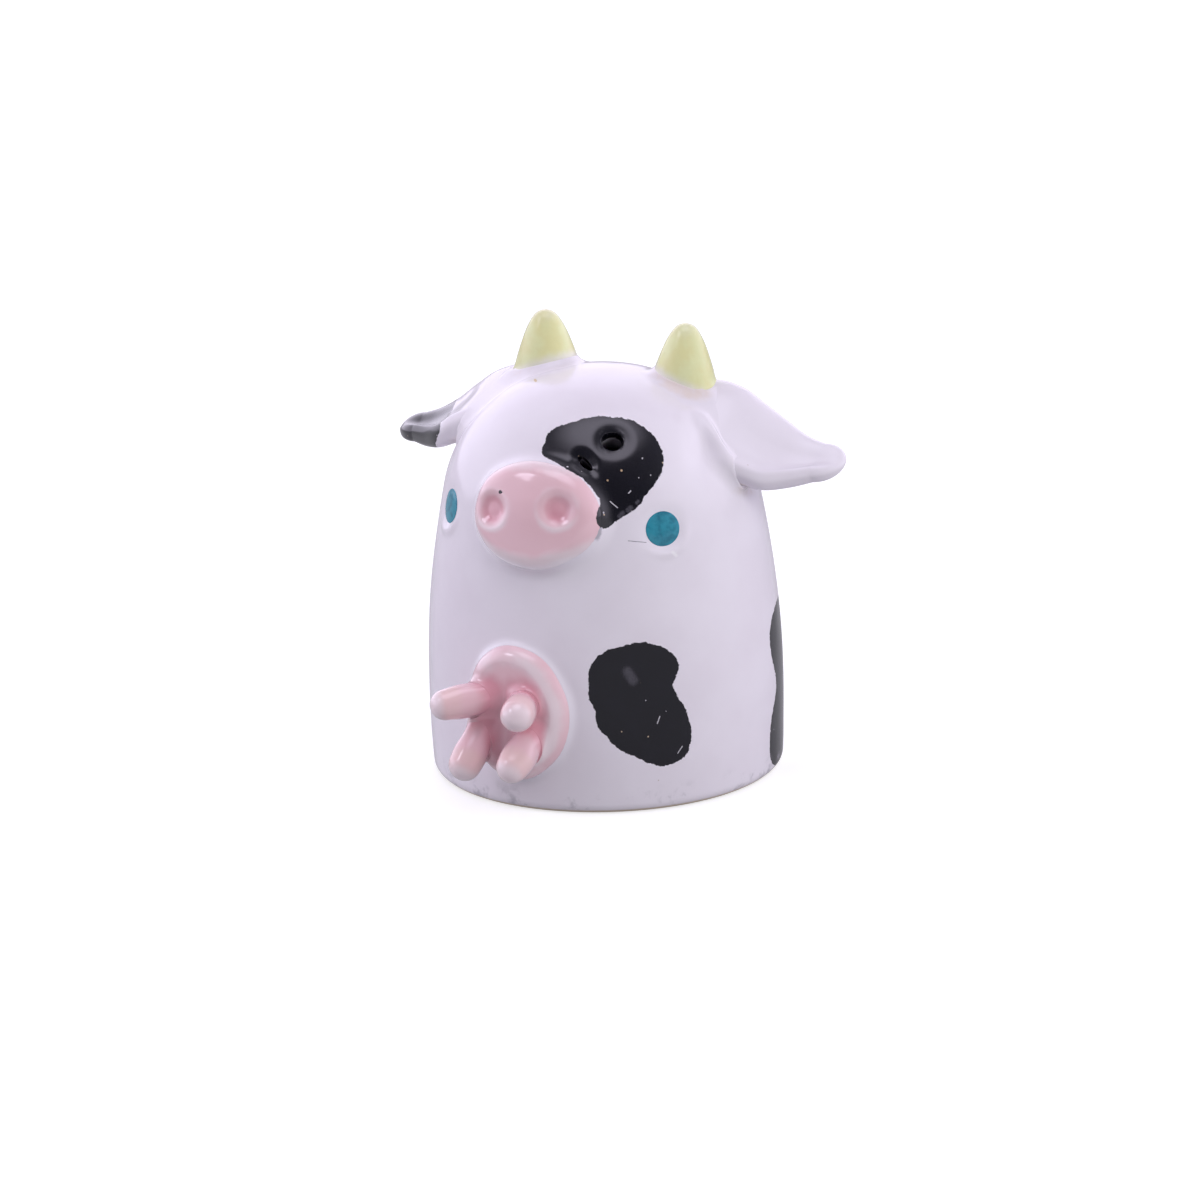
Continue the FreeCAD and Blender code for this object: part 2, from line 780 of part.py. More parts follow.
def teat(name):
    """A peg with a round end, a little thicker towards the tip, standing on the udder pad."""
    across, up = TEAT_PLACE_SHARES[name]
    azimuth, rise = TEAT_AXIS_DEGREES[name]
    length = size("teat_length")
    tip = size("teat_tip_radius")
    sunk = size("udder_thickness")
    bed = Dome(size("udder_thickness").value)
    height = size("teat_centre_height").value + up * size("teat_spacing_up").value / 2
    distance = bed.radius_at(height)
    turn = math.degrees(across * size("teat_spacing_across").value / 2 / distance)
    place = size("teat_centre_azimuth_degrees").value + turn
    spot = heading(place) * distance + VECTOR(0, 0, height)
    axis = FreeCAD.Placement(spot, facing(azimuth, rise))
    peg = add(
        "Part::Cone",
        f"{name}_peg",
        Radius1=size("teat_root_radius"),
        Radius2=tip,
        Height=length - tip + sunk,
    )
    peg.Placement = along(axis, -sunk.value)
    end = add("Part::Sphere", f"{name}_end", Radius=tip)
    end.Placement = along(axis, (length - tip).value)
    return boolean("Part::Cut", name, joined(f"{name}_blank", [peg, end]), teat_bed)


for teat_name in TEAT_PLACE_SHARES:
    nodes[teat_name] = teat(teat_name)


# Checks and export
def failed(item):
    return [state for state in item.State if state in ("Invalid", "Error")]


doc.recompute()
for item in doc.Objects:
    if failed(item):
        raise RuntimeError(f"{item.Label} did not build: {item.State}")
os.makedirs("parts", exist_ok=True)
for node, item in nodes.items():
    shape = item.Shape
    if shape.isNull() or not shape.isValid() or len(shape.Solids) != 1:
        raise RuntimeError(f"{node} is not one valid solid")
    print(f"{node}: {shape.Volume:.1f} cubic mm, box {shape.BoundBox}")
    shape.exportStep(f"parts/{node}.step")
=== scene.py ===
"""A glazed ceramic cow shaker: its clay pieces, their glazes, and the studio around them.

Shapes are worked in millimetres, +Z up, the face towards -Y and the cow's left towards +X,
and scaled to metres when a piece is finished.
"""
import logging
import math
from dataclasses import dataclass
from enum import Enum

import bmesh
import bpy
import numpy as np
from mathutils import Matrix, Vector, noise
from mathutils.bvhtree import BVHTree


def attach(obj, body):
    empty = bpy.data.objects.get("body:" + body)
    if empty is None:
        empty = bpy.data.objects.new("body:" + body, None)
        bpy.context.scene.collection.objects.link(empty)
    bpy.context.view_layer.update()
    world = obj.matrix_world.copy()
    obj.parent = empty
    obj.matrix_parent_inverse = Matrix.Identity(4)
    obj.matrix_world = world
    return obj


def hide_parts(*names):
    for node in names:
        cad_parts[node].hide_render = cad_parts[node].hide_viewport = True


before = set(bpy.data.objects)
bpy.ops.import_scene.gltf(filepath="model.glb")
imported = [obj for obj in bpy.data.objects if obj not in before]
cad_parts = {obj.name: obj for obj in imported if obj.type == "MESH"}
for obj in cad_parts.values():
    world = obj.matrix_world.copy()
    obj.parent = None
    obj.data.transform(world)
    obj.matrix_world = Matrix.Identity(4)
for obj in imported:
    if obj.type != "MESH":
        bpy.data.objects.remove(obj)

LOG = logging.getLogger("cow_shaker")
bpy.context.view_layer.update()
METRES = 0.001
SEED = 175
FAR = 1e9
TINY = 1e-9
# Paint mark of a point that lies outside every painted outline
UNPAINTED = -5.0
# Deeper than this under the dome's skin nothing is painted
PAINT_DEPTH = -1.5
# A depth inside the wall, between its two skins
IN_WALL = -2.6

Colour = tuple[float, float, float]


class Slot(Enum):
    """The material slots of the part."""

    WHITE = "white_glaze"
    PINK = "pink_glaze"
    HORN = "horn_glaze"
    TURQUOISE = "turquoise_glaze"
    RUBBER = "stopper_rubber"


class Body(Enum):
    """The bodies that pieces ride on."""

    COW = "cow"
    STOPPER = "stopper"


class Side(Enum):
    """The cow's own sides, as the sign of X."""

    LEFT = 1
    RIGHT = -1


# Geometry helpers
def ease(low: float, high: float, values: np.ndarray) -> np.ndarray:
    """Smooth step from 0 at low to 1 at high.

    Args:
        low: Where the step starts.
        high: Where it ends.
        values: Numbers to step.

    Returns:
        The stepped numbers.
    """
    share = np.clip((values - low) / (high - low), 0.0, 1.0)
    return share * share * (3.0 - 2.0 * share)


def heading(azimuth: float) -> np.ndarray:
    """Level direction at an azimuth, in degrees from the face towards the cow's left."""
    angle = math.radians(azimuth)
    return np.array((math.sin(angle), -math.cos(angle), 0.0))


def placed(name: str, data: bpy.types.ID) -> bpy.types.Object:
    """Make an object of some data and put it in the scene.

    Args:
        name: Its name.
        data: Its mesh, light or camera.

    Returns:
        The object.
    """
    thing = bpy.data.objects.new(name, data)
    bpy.context.scene.collection.objects.link(thing)
    return thing


def through(table: np.ndarray, places: np.ndarray) -> np.ndarray:
    """Catmull-Rom curve through the rows of a table.

    Args:
        table: Rows to pass through.
        places: Row numbers, with fractions.

    Returns:
        One row for each place.
    """
    last = len(table) - 1
    low = np.clip(np.floor(places).astype(int), 0, last - 1)
    step = (places - low)[:, None]
    rows = [table[np.clip(low + shift, 0, last)] for shift in (-1, 0, 1, 2)]
    return 0.5 * (
        2 * rows[1]
        + (rows[2] - rows[0]) * step
        + (2 * rows[0] - 5 * rows[1] + 4 * rows[2] - rows[3]) * step**2
        + (3 * rows[1] - rows[0] - 3 * rows[2] + rows[3]) * step**3
    )


@dataclass
class Spot:
    """A place on the dome with its own right, up and outward directions."""

    centre: np.ndarray
    right: np.ndarray
    up: np.ndarray
    out: np.ndarray

    def flat(self, points: np.ndarray) -> tuple[np.ndarray, np.ndarray, np.ndarray]:
        """Places across, up and outward of points.

        Args:
            points: Rows of points.

        Returns:
            Three arrays, one for each direction.
        """
        away = points - self.centre
        return away @ self.right, away @ self.up, away @ self.out


@dataclass
class ThrownForm:
    """The thrown dome: crown, shoulder and flank arcs of its half section."""

    height: float = 57.2
    belly_radius: float = 25.0
    belly_height: float = 12.0
    flank_radius: float = 146.0
    crown_radius: float = 36.0
    crown_reach: float = 6.39
    wall: float = 4.5
    search_start: float = 60.0
    search_rounds: int = 40
    lay_rounds: int = 8

    def __post_init__(self) -> None:
        """Work out the arc centres and joints."""
        self.flank = np.array((self.belly_radius - self.flank_radius, self.belly_height))
        self.crown = np.array((0.0, self.height - self.crown_radius))
        outward = np.array((self.crown_reach, math.sqrt(self.crown_radius**2 - self.crown_reach**2)))
        apart = self.crown + outward - self.flank
        outward /= self.crown_radius
        spare = self.flank_radius**2 - apart @ apart
        self.shoulder_radius = float(spare / (self.flank_radius - apart @ outward) / 2)
        self.shoulder = self.flank + apart - outward * self.shoulder_radius
        to_flank = self.shoulder - self.flank
        self.crown_angle = math.atan2(*(self.shoulder - self.crown)[::-1])
        self.flank_angle = math.atan2(to_flank[1], to_flank[0])

    def skin(self, points: np.ndarray) -> tuple[np.ndarray, np.ndarray]:
        """Distance above the dome's skin, and the way out of it.

        Args:
            points: Rows of points.

        Returns:
            Distances and outward unit rows.
        """
        reach = np.hypot(points[:, 0], points[:, 1])
        level = points[:, :2] / np.maximum(reach, TINY)[:, None]
        angle = np.arctan2(points[:, 2] - self.shoulder[1], reach - self.shoulder[0])
        crown = angle > self.crown_angle
        flank = angle < self.flank_angle
        centre = np.where(crown[:, None], self.crown, np.where(flank[:, None], self.flank, self.shoulder))
        radius = np.where(crown, self.crown_radius, np.where(flank, self.flank_radius, self.shoulder_radius))
        side, rise = reach - centre[:, 0], points[:, 2] - centre[:, 1]
        length = np.hypot(side, rise)
        normal = np.column_stack((level * (side / length)[:, None], rise / length))
        return length - radius, normal

    def spot(self, azimuth: float, height: float) -> Spot:
        """The place on the skin at an azimuth and height.

        Args:
            azimuth: Degrees from the face towards the cow's left.
            height: Height above the table.

        Returns:
            The place and its directions.
        """
        way = heading(azimuth)
        point = way * self.search_start + np.array((0.0, 0.0, height))
        for _ in range(self.search_rounds):
            distance, normal = self.skin(point[None])
            point = point - way * distance[0] / max(normal[0] @ way, 0.2)
        normal = self.skin(point[None])[1][0]
        right = heading(azimuth + 90)
        return Spot(point, right, np.cross(normal, right), normal)

    def lay(self, spot: Spot, across: np.ndarray, up: np.ndarray, above: np.ndarray) -> np.ndarray:
        """Points over a spot's tangent plane, set a given distance above the skin.

        Args:
            spot: The place they are laid around.
            across: Places to the right.
            up: Places up.
            above: Distances above the skin.

        Returns:
            Rows of points.
        """
        points = spot.centre + np.outer(across, spot.right) + np.outer(up, spot.up)
        for _ in range(self.lay_rounds):
            distance, normal = self.skin(points)
            lean = np.maximum(normal @ spot.out, 0.3)
            points = points - np.outer((distance - above) / lean, spot.out)
        return points


@dataclass(frozen=True)
class Sight:
    """The direction of view, where the camera stands and from which the front patches are drawn."""

    azimuth: float = 25.5
    elevation: float = 17.1
    roll: float = 1.71
    aim: tuple[float, float, float] = (0.0, 0.0, 29.0)
    distance: float = 1500.0

    def axes(self) -> np.ndarray:
        """The directions of the view, before the roll.

        Returns:
            Rows for right, up and back.
        """
        a, e = math.radians(self.azimuth), math.radians(self.elevation)
        right = np.array((math.cos(a), math.sin(a), 0.0))
        back = np.array((math.sin(a) * math.cos(e), -math.cos(a) * math.cos(e), math.sin(e)))
        return np.array((right, np.cross(back, right), back))

    def seen(self, points: np.ndarray) -> np.ndarray:
        """Flat places of points as seen from there.

        Args:
            points: Rows of points.

        Returns:
            Rows of places to the right and up.
        """
        local = (points - np.array(self.aim)) @ self.axes().T
        return local[:, :2] * (self.distance / (self.distance - local[:, 2]))[:, None]


FORM = ThrownForm()
SIGHT = Sight()


class Wobble:
    """The slow unevenness of hand work, the same for every piece so that they stay seated."""

    reach = 0.16
    scale = 0.055
    offset = (7.0, 3.0, 1.0)
    still = 0.5
    free = 7.0

    @classmethod
    def shift(cls, points: np.ndarray) -> np.ndarray:
        """Move points by the slow unevenness, fading out at the foot.

        Args:
            points: Rows of points.

        Returns:
            The moved rows.
        """
        offset = Vector(cls.offset)
        moves = np.array([noise.noise_vector(Vector(row) * cls.scale + offset) for row in points])
        return points + moves * (cls.reach * ease(cls.still, cls.free, points[:, 2]))[:, None]


class Clay:
    """A mesh in the hands, kept as a bmesh whose vertex places can be read and set."""

    def __init__(self) -> None:
        """Start with an empty bmesh."""
        self.bm = bmesh.new()
        self.marks: dict[str, np.ndarray] = {}

    def places(self) -> np.ndarray:
        """The vertex places, one row each."""
        return np.array([vert.co[:] for vert in self.bm.verts], float).reshape(-1, 3)

    def put(self, places: np.ndarray) -> None:
        """Set the vertex places.

        Args:
            places: One row for each vertex.
        """
        for vert, place in zip(self.bm.verts, places):
            vert.co = place

    def close(self, apart: float = 1e-4) -> None:
        """Merge doubles and turn every face outward.

        Args:
            apart: The distance within which vertices merge.
        """
        bmesh.ops.remove_doubles(self.bm, verts=self.bm.verts[:], dist=apart)
        bmesh.ops.recalc_face_normals(self.bm, faces=self.bm.faces[:])

    def tree(self) -> BVHTree:
        """A search tree of the faces."""
        self.bm.normal_update()
        return BVHTree.FromBMesh(self.bm)

    def mark(self, name: str, values: np.ndarray) -> None:
        """Keep a number for each vertex, under a name that the glaze reads."""
        self.marks[name] = values

    def weld(self) -> None:
        """Close a wrapped grid's seam and ends, keeping each mark with its vertices."""
        for name, values in self.marks.items():
            layer = self.bm.verts.layers.float.new(name)
            for vert, value in zip(self.bm.verts, values):
                vert[layer] = value
        self.marks = {}
        bmesh.ops.remove_doubles(self.bm, verts=self.bm.verts[:], dist=1e-3)
        rim = [edge for edge in self.bm.edges if edge.is_boundary]
        bmesh.ops.holes_fill(self.bm, edges=rim, sides=0)
        bmesh.ops.recalc_face_normals(self.bm, faces=self.bm.faces[:])

    def bevel(
        self, edges: list[bmesh.types.BMEdge], offset: float, segments: int,
    ) -> list[bmesh.types.BMVert]:
        """Round some edges.

        Args:
            edges: The edges.
            offset: Distance that each is cut back by.
            segments: Faces across the round.

        Returns:
            The new vertices.
        """
        made = bmesh.ops.bevel(
            self.bm, geom=edges, offset=offset, offset_type="OFFSET", affect="EDGES",
            segments=segments, profile=0.5, material=-1, clamp_overlap=True,
        )
        return made["verts"]

    def fired(
        self, name: str, slot: Slot, body: Body, nodes: tuple[str, ...], glaze: bpy.types.Material,
    ) -> None:
        """Finish the piece as an object in metres.

        Args:
            name: Name of the object.
            slot: The piece's material slot; not used.
            body: Body that it rides on.
            nodes: Solids that it stands for.
            glaze: Its material.
        """
        if body is Body.COW:
            self.put(Wobble.shift(self.places()))
        self.bm.transform(Matrix.Scale(METRES, 4))
        mesh = bpy.data.meshes.new(name)
        self.bm.to_mesh(mesh)
        self.bm.free()
        for mark, values in self.marks.items():
            mesh.attributes.new(mark, "FLOAT", "POINT").data.foreach_set("value", values.astype(np.float32))
        mesh.shade_smooth()
        mesh.materials.append(glaze)
        piece = placed(name, mesh)
        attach(piece, body.value)
        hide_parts(*nodes)
        LOG.info("%s: %d vertices, %d faces", name, len(mesh.vertices), len(mesh.polygons))


class HalfSection:
    """A half section drawn in the XZ plane with spun arcs and straight runs, then turned."""

    def __init__(self, clay: Clay, start: tuple[float, float]) -> None:
        """Set the first point.

        Args:
            clay: The mesh to draw in.
            start: Distance from the axis, and height.
        """
        self.bm = clay.bm
        self.tip = self.bm.verts.new((start[0], 0.0, start[1]))

    def arc(self, centre: tuple[float, float], degrees: float, steps: int) -> "HalfSection":
        """Carry the line on round a centre.

        Args:
            centre: Distance from the axis, and height, of the centre.
            degrees: Turn about the Y axis, positive from +Z towards +X.
            steps: Number of edges.

        Returns:
            The same half section.
        """
        made = bmesh.ops.spin(
            self.bm, geom=[self.tip], cent=(centre[0], 0.0, centre[1]), axis=(0.0, 1.0, 0.0),
            angle=math.radians(degrees), steps=steps, use_duplicate=False,
        )
        self.tip = next(item for item in made["geom_last"] if isinstance(item, bmesh.types.BMVert))
        return self

    def run(self, end: tuple[float, float], steps: int) -> "HalfSection":
        """Carry the line straight on to a point.

        Args:
            end: Distance from the axis, and height, of the end.
            steps: Number of edges.

        Returns:
            The same half section.
        """
        step = (Vector((end[0], 0.0, end[1])) - self.tip.co) / steps
        for _ in range(steps):
            made = bmesh.ops.extrude_vert_indiv(self.bm, verts=[self.tip])
            self.tip = made["verts"][0]
            bmesh.ops.translate(self.bm, verts=[self.tip], vec=step)
        return self

    def turned(self, steps: int) -> None:
        """Spin the whole line once round the Z axis.

        Args:
            steps: Number of faces round.
        """
        bmesh.ops.spin(
            self.bm, geom=self.bm.verts[:] + self.bm.edges[:], cent=(0, 0, 0), axis=(0, 0, 1),
            angle=math.tau, steps=steps, use_merge=True, use_duplicate=False,
        )


def leaf_grid(clay: Clay, rows: int, columns: int) -> tuple[np.ndarray, np.ndarray]:
    """Fill the clay with a grid, to be wrapped into a closed skin.

    Args:
        clay: The mesh to fill.
        rows: Faces along.
        columns: Faces round.

    Returns:
        For each vertex its share along and its share round, from 0 to 1.
    """
    bmesh.ops.create_grid(clay.bm, x_segments=rows, y_segments=columns, size=1.0)
    flat = clay.places()
    return (flat[:, 0] + 1.0) / 2.0, (flat[:, 1] + 1.0) / 2.0


# Slip that joins clay
@dataclass
class Luting:
    """A seam smeared with slip between a luted piece and what it stands on."""

    tree: BVHTree
    reach: float

    def gap(self, point: Vector, limit: float) -> tuple[float, Vector] | None:
        """Signed distance to the luted piece, and the way out of it.

        Args:
            point: Where to look from.
            limit: Farthest distance of interest, in reaches.

        Returns:
            Distance in reaches and direction, or None where the piece is farther off.
        """
        near, normal, _, length = self.tree.find_nearest(point, self.reach * limit)
        if near is None:
            return None
        away = point - near
        sign = -1.0 if away.dot(normal) < 0 else 1.0
        way = away * (sign / length) if length > 1e-6 else normal
        return sign * length / self.reach, way


class Ground:
    """The bare dome as ground for slip."""

    def above(self, point: Vector) -> tuple[float, Vector]:
        """Distance of a point above the ground, and the ground's normal."""
        distance, normal = FORM.skin(np.array((point[:],)))
        return float(distance[0]), Vector(normal[0])


@dataclass
class PadGround(Ground):
    """A pad's bare surface as ground for slip, by its search tree."""

    tree: BVHTree

    def above(self, point: Vector) -> tuple[float, Vector]:
        """Distance of a point above the pad, and the pad's normal."""
        near, normal, _, _ = self.tree.find_nearest(point)
        return (point - near).dot(normal), normal


@dataclass
class Slip:
    """Slip that fills the corners between a ground and what is luted on it with round fillets.

    Distances to a luted piece are counted in its seam's reach.
    """

    ground: Ground
    seams: list[Luting]
    look: float = 2.4
    deepest: float = -2.2
    rounds: int = 7
    tuck: float = 0.3

    def near(self, point: Vector) -> float:
        """Distance to the nearest luted piece, or FAR where none is within reach."""
        gaps = (seam.gap(point, self.look) for seam in self.seams)
        return min((found[0] for found in gaps if found and found[0] < 1.0), default=FAR)

    def shift(self, point: Vector) -> Vector | None:
        """The step that takes a point on to the fillet.

        Args:
            point: Where it is.

        Returns:
            The step, or None where the point is there or no seam is near.
        """
        pull = Vector((0.0, 0.0, 0.0))
        square = weight = blend = 0.0
        for seam in self.seams:
            found = seam.gap(point, self.look)
            share = 1.0 - found[0] if found else 0.0
            if share > 0:
                square += share * share
                pull += found[1] * (share / seam.reach)
                weight += share
                blend += share * seam.reach
        if weight <= 0:
            return None
        reach = blend / weight
        above, normal = self.ground.above(point)
        share = 1.0 - above / reach
        if share > 0:
            square += share * share
            pull += normal * (share / reach)
        length = math.sqrt(square)
        pull /= length
        step = (1.0 - length) / max(pull.dot(pull), 1e-6)
        return None if abs(step) < 1e-4 else pull * max(min(step, 1.0), -1.0)

    def smear(self, points: np.ndarray) -> np.ndarray:
        """Move the points near a seam on to its fillet, and tuck in those under a luted piece.

        Args:
            points: Points of the surface.

        Returns:
            The moved points.
        """
        moved = points.copy()
        for index, start in enumerate(points):
            spot = Vector(start)
            near = self.near(spot)
            if not self.deepest <= near < 1.0:
                continue
            for _ in range(self.rounds):
                shift = self.shift(spot)
                if shift is None:
                    break
                spot = spot - shift
            tuck = self.tuck * float(ease(0.9, 1.7, np.array(-near)))
            if tuck:
                for seam in self.seams:
                    found = seam.gap(spot, 1.0)
                    if found and found[0] < 0.5:
                        spot = spot - found[1] * (tuck * seam.reach)
            moved[index] = spot
        return moved


# Painted outlines
@dataclass(frozen=True)
class PaintedPatch:
    """A brushed patch: a closed outline in millimetres of a flat view."""

    outline: tuple[tuple[float, float], ...]
    softened: int = 2

    def corners(self) -> np.ndarray:
        """Cut the outline's corners.

        Returns:
            Rows of the smoother outline.
        """
        ring = np.array(self.outline)
        for _ in range(self.softened):
            after = np.roll(ring, -1, axis=0)
            ring = np.stack((ring * 0.75 + after * 0.25, ring * 0.25 + after * 0.75), axis=1).reshape(-1, 2)
        return ring

    def depth(self, flat: np.ndarray) -> np.ndarray:
        """Distance inside the outline, negative outside.

        Args:
            flat: Rows of flat places.

        Returns:
            One distance for each.
        """
        ring = self.corners()
        best = np.full(len(flat), FAR)
        inside = np.zeros(len(flat), bool)
        for start, end in zip(ring, np.roll(ring, -1, axis=0)):
            edge = end - start
            away = flat - start
            share = np.clip(away @ edge / max(edge @ edge, TINY), 0.0, 1.0)
            best = np.minimum(best, np.linalg.norm(away - share[:, None] * edge, axis=1))
            crosses = (start[1] > flat[:, 1]) != (end[1] > flat[:, 1])
            rise = edge[1] if abs(edge[1]) > TINY else TINY
            inside ^= crosses & (away[:, 0] < (flat[:, 1] - start[1]) * edge[0] / rise)
        return np.where(inside, best, -best)


BROW_PATCH = PaintedPatch((
    (-0.8, 20.8), (1.6, 20.7), (4.8, 20.1), (7.1, 18.3), (8.3, 16.7), (9.0, 14.8), (8.8, 13.1),
    (8.0, 11.4), (5.9, 9.1), (5.1, 7.7), (2.7, 6.4), (1.7, 5.7), (0.5, 4.8), (-0.2, 5.0),
    (-0.9, 5.8), (-0.6, 7.5), (-0.1, 8.6), (-0.3, 9.3), (-1.4, 10.6), (-2.3, 11.9), (-4.1, 13.0),
    (-5.8, 14.1), (-7.4, 15.1), (-8.4, 15.7), (-7.7, 17.5), (-7.2, 18.8), (-5.6, 19.6), (-3.6, 20.2),
))
BODY_PATCH = PaintedPatch((
    (4.6, -11.0), (6.7, -11.3), (8.5, -12.1), (9.8, -13.2), (10.4, -14.5), (9.7, -16.3),
    (9.1, -17.4), (9.9, -18.8), (11.0, -20.7), (11.6, -23.1), (11.6, -24.8), (11.1, -26.9),
    (9.8, -28.0), (8.0, -28.7), (6.6, -28.6), (4.3, -27.7), (2.4, -26.6), (1.0, -26.0),
    (-0.1, -24.6), (-1.8, -22.8), (-1.8, -21.3), (-2.0, -19.9), (-2.8, -18.7), (-2.5, -16.6),
    (-2.6, -15.2), (-1.8, -13.6), (-0.1, -12.2), (1.7, -11.8), (2.9, -11.5),
))
DRIP = PaintedPatch(((-0.9, 5.9), (-1.0, 4.4), (-1.2, 3.2), (-0.5, 3.2), (-0.1, 4.2), (0.1, 5.4)), 1)
# Patches at the side and the back: distance round the dome, and height
SIDE_PATCH = PaintedPatch((
    (49.0, 24.5), (44.5, 23.9), (41.9, 22.6), (40.5, 20.4), (41.1, 17.0), (42.9, 13.5),
    (42.1, 10.9), (40.5, 9.0), (39.8, 5.5), (40.0, 2.2), (43.0, 0.6), (48.0, 1.2), (52.5, 3.4),
    (56.0, 8.0), (57.5, 13.0), (56.0, 18.0), (53.5, 22.4),
))
BACK_PATCH = PaintedPatch((
    (70.0, 39.0), (74.0, 41.0), (79.0, 40.6), (83.0, 38.0), (84.5, 34.0), (83.0, 30.0),
    (84.0, 26.0), (81.5, 22.0), (77.0, 20.5), (73.5, 22.5), (71.5, 26.5), (68.0, 29.5),
    (66.5, 34.0), (68.0, 37.2),
))
HAUNCH_PATCH = PaintedPatch((
    (-62.0, 26.0), (-58.5, 29.0), (-53.5, 29.5), (-50.0, 27.0), (-48.5, 22.5), (-50.5, 18.0),
    (-49.5, 13.5), (-52.0, 9.0), (-57.0, 7.0), (-61.5, 8.8), (-64.5, 13.0), (-63.5, 18.0),
    (-65.0, 22.0),
))


def round_the_dome(points: np.ndarray) -> np.ndarray:
    """Unroll points: distance round the belly from the face, and height.

    Args:
        points: Rows of points.

    Returns:
        Rows of flat places.
    """
    angle = np.arctan2(points[:, 0], -points[:, 1])
    return np.column_stack((angle * FORM.belly_radius, points[:, 2]))


# Glaze shaders
class Wire:
    """A shader socket that takes part in sums, and adds a Math node for each."""

    def __init__(self, recipe: "Recipe", socket: bpy.types.NodeSocket) -> None:
        """Wrap a socket.

        Args:
            recipe: The node tree that it belongs to.
            socket: The output socket.
        """
        self.recipe = recipe
        self.socket = socket

    def _join(self, operation: str, *values: "Wire | float") -> "Wire":
        """Add a Math node.

        Args:
            operation: Its operation.
            values: Its inputs.

        Returns:
            Its output.
        """
        return self.recipe.add("ShaderNodeMath", {"operation": operation}, dict(enumerate(values)))

    def __add__(self, other: "Wire | float") -> "Wire":
        """Sum."""
        return self._join("ADD", self, other)

    def __radd__(self, other: float) -> "Wire":
        """Reflected sum."""
        return self._join("ADD", other, self)

    def __sub__(self, other: "Wire | float") -> "Wire":
        """Difference."""
        return self._join("SUBTRACT", self, other)

    def __rsub__(self, other: float) -> "Wire":
        """Reflected difference."""
        return self._join("SUBTRACT", other, self)

    def __mul__(self, other: "Wire | float") -> "Wire":
        """Product."""
        return self._join("MULTIPLY", self, other)

    def __rmul__(self, other: float) -> "Wire":
        """Reflected product."""
        return self._join("MULTIPLY", other, self)

    def __truediv__(self, other: "Wire | float") -> "Wire":
        """Quotient."""
        return self._join("DIVIDE", self, other)

    def least(self, other: "Wire | float") -> "Wire":
        """The smaller of two."""
        return self._join("MINIMUM", self, other)

    def most(self, other: "Wire | float") -> "Wire":
        """The larger of two."""
        return self._join("MAXIMUM", self, other)

    def step(self, low: float, high: float) -> "Wire":
        """Smooth step from 0 at low to 1 at high, or down where low is the larger.

        Args:
            low: Value that gives 0.
            high: Value that gives 1.

        Returns:
            The stepped value.
        """
        settings = {"interpolation_type": "SMOOTHSTEP", "clamp": True}
        inputs = {"Value": self, "From Min": low, "From Max": high, "To Min": 0.0, "To Max": 1.0}
        return self.recipe.add("ShaderNodeMapRange", settings, inputs)

    def twin(self, output: str) -> "Wire":
        """Another output of the same node."""
        return Wire(self.recipe, self.socket.node.outputs[output])


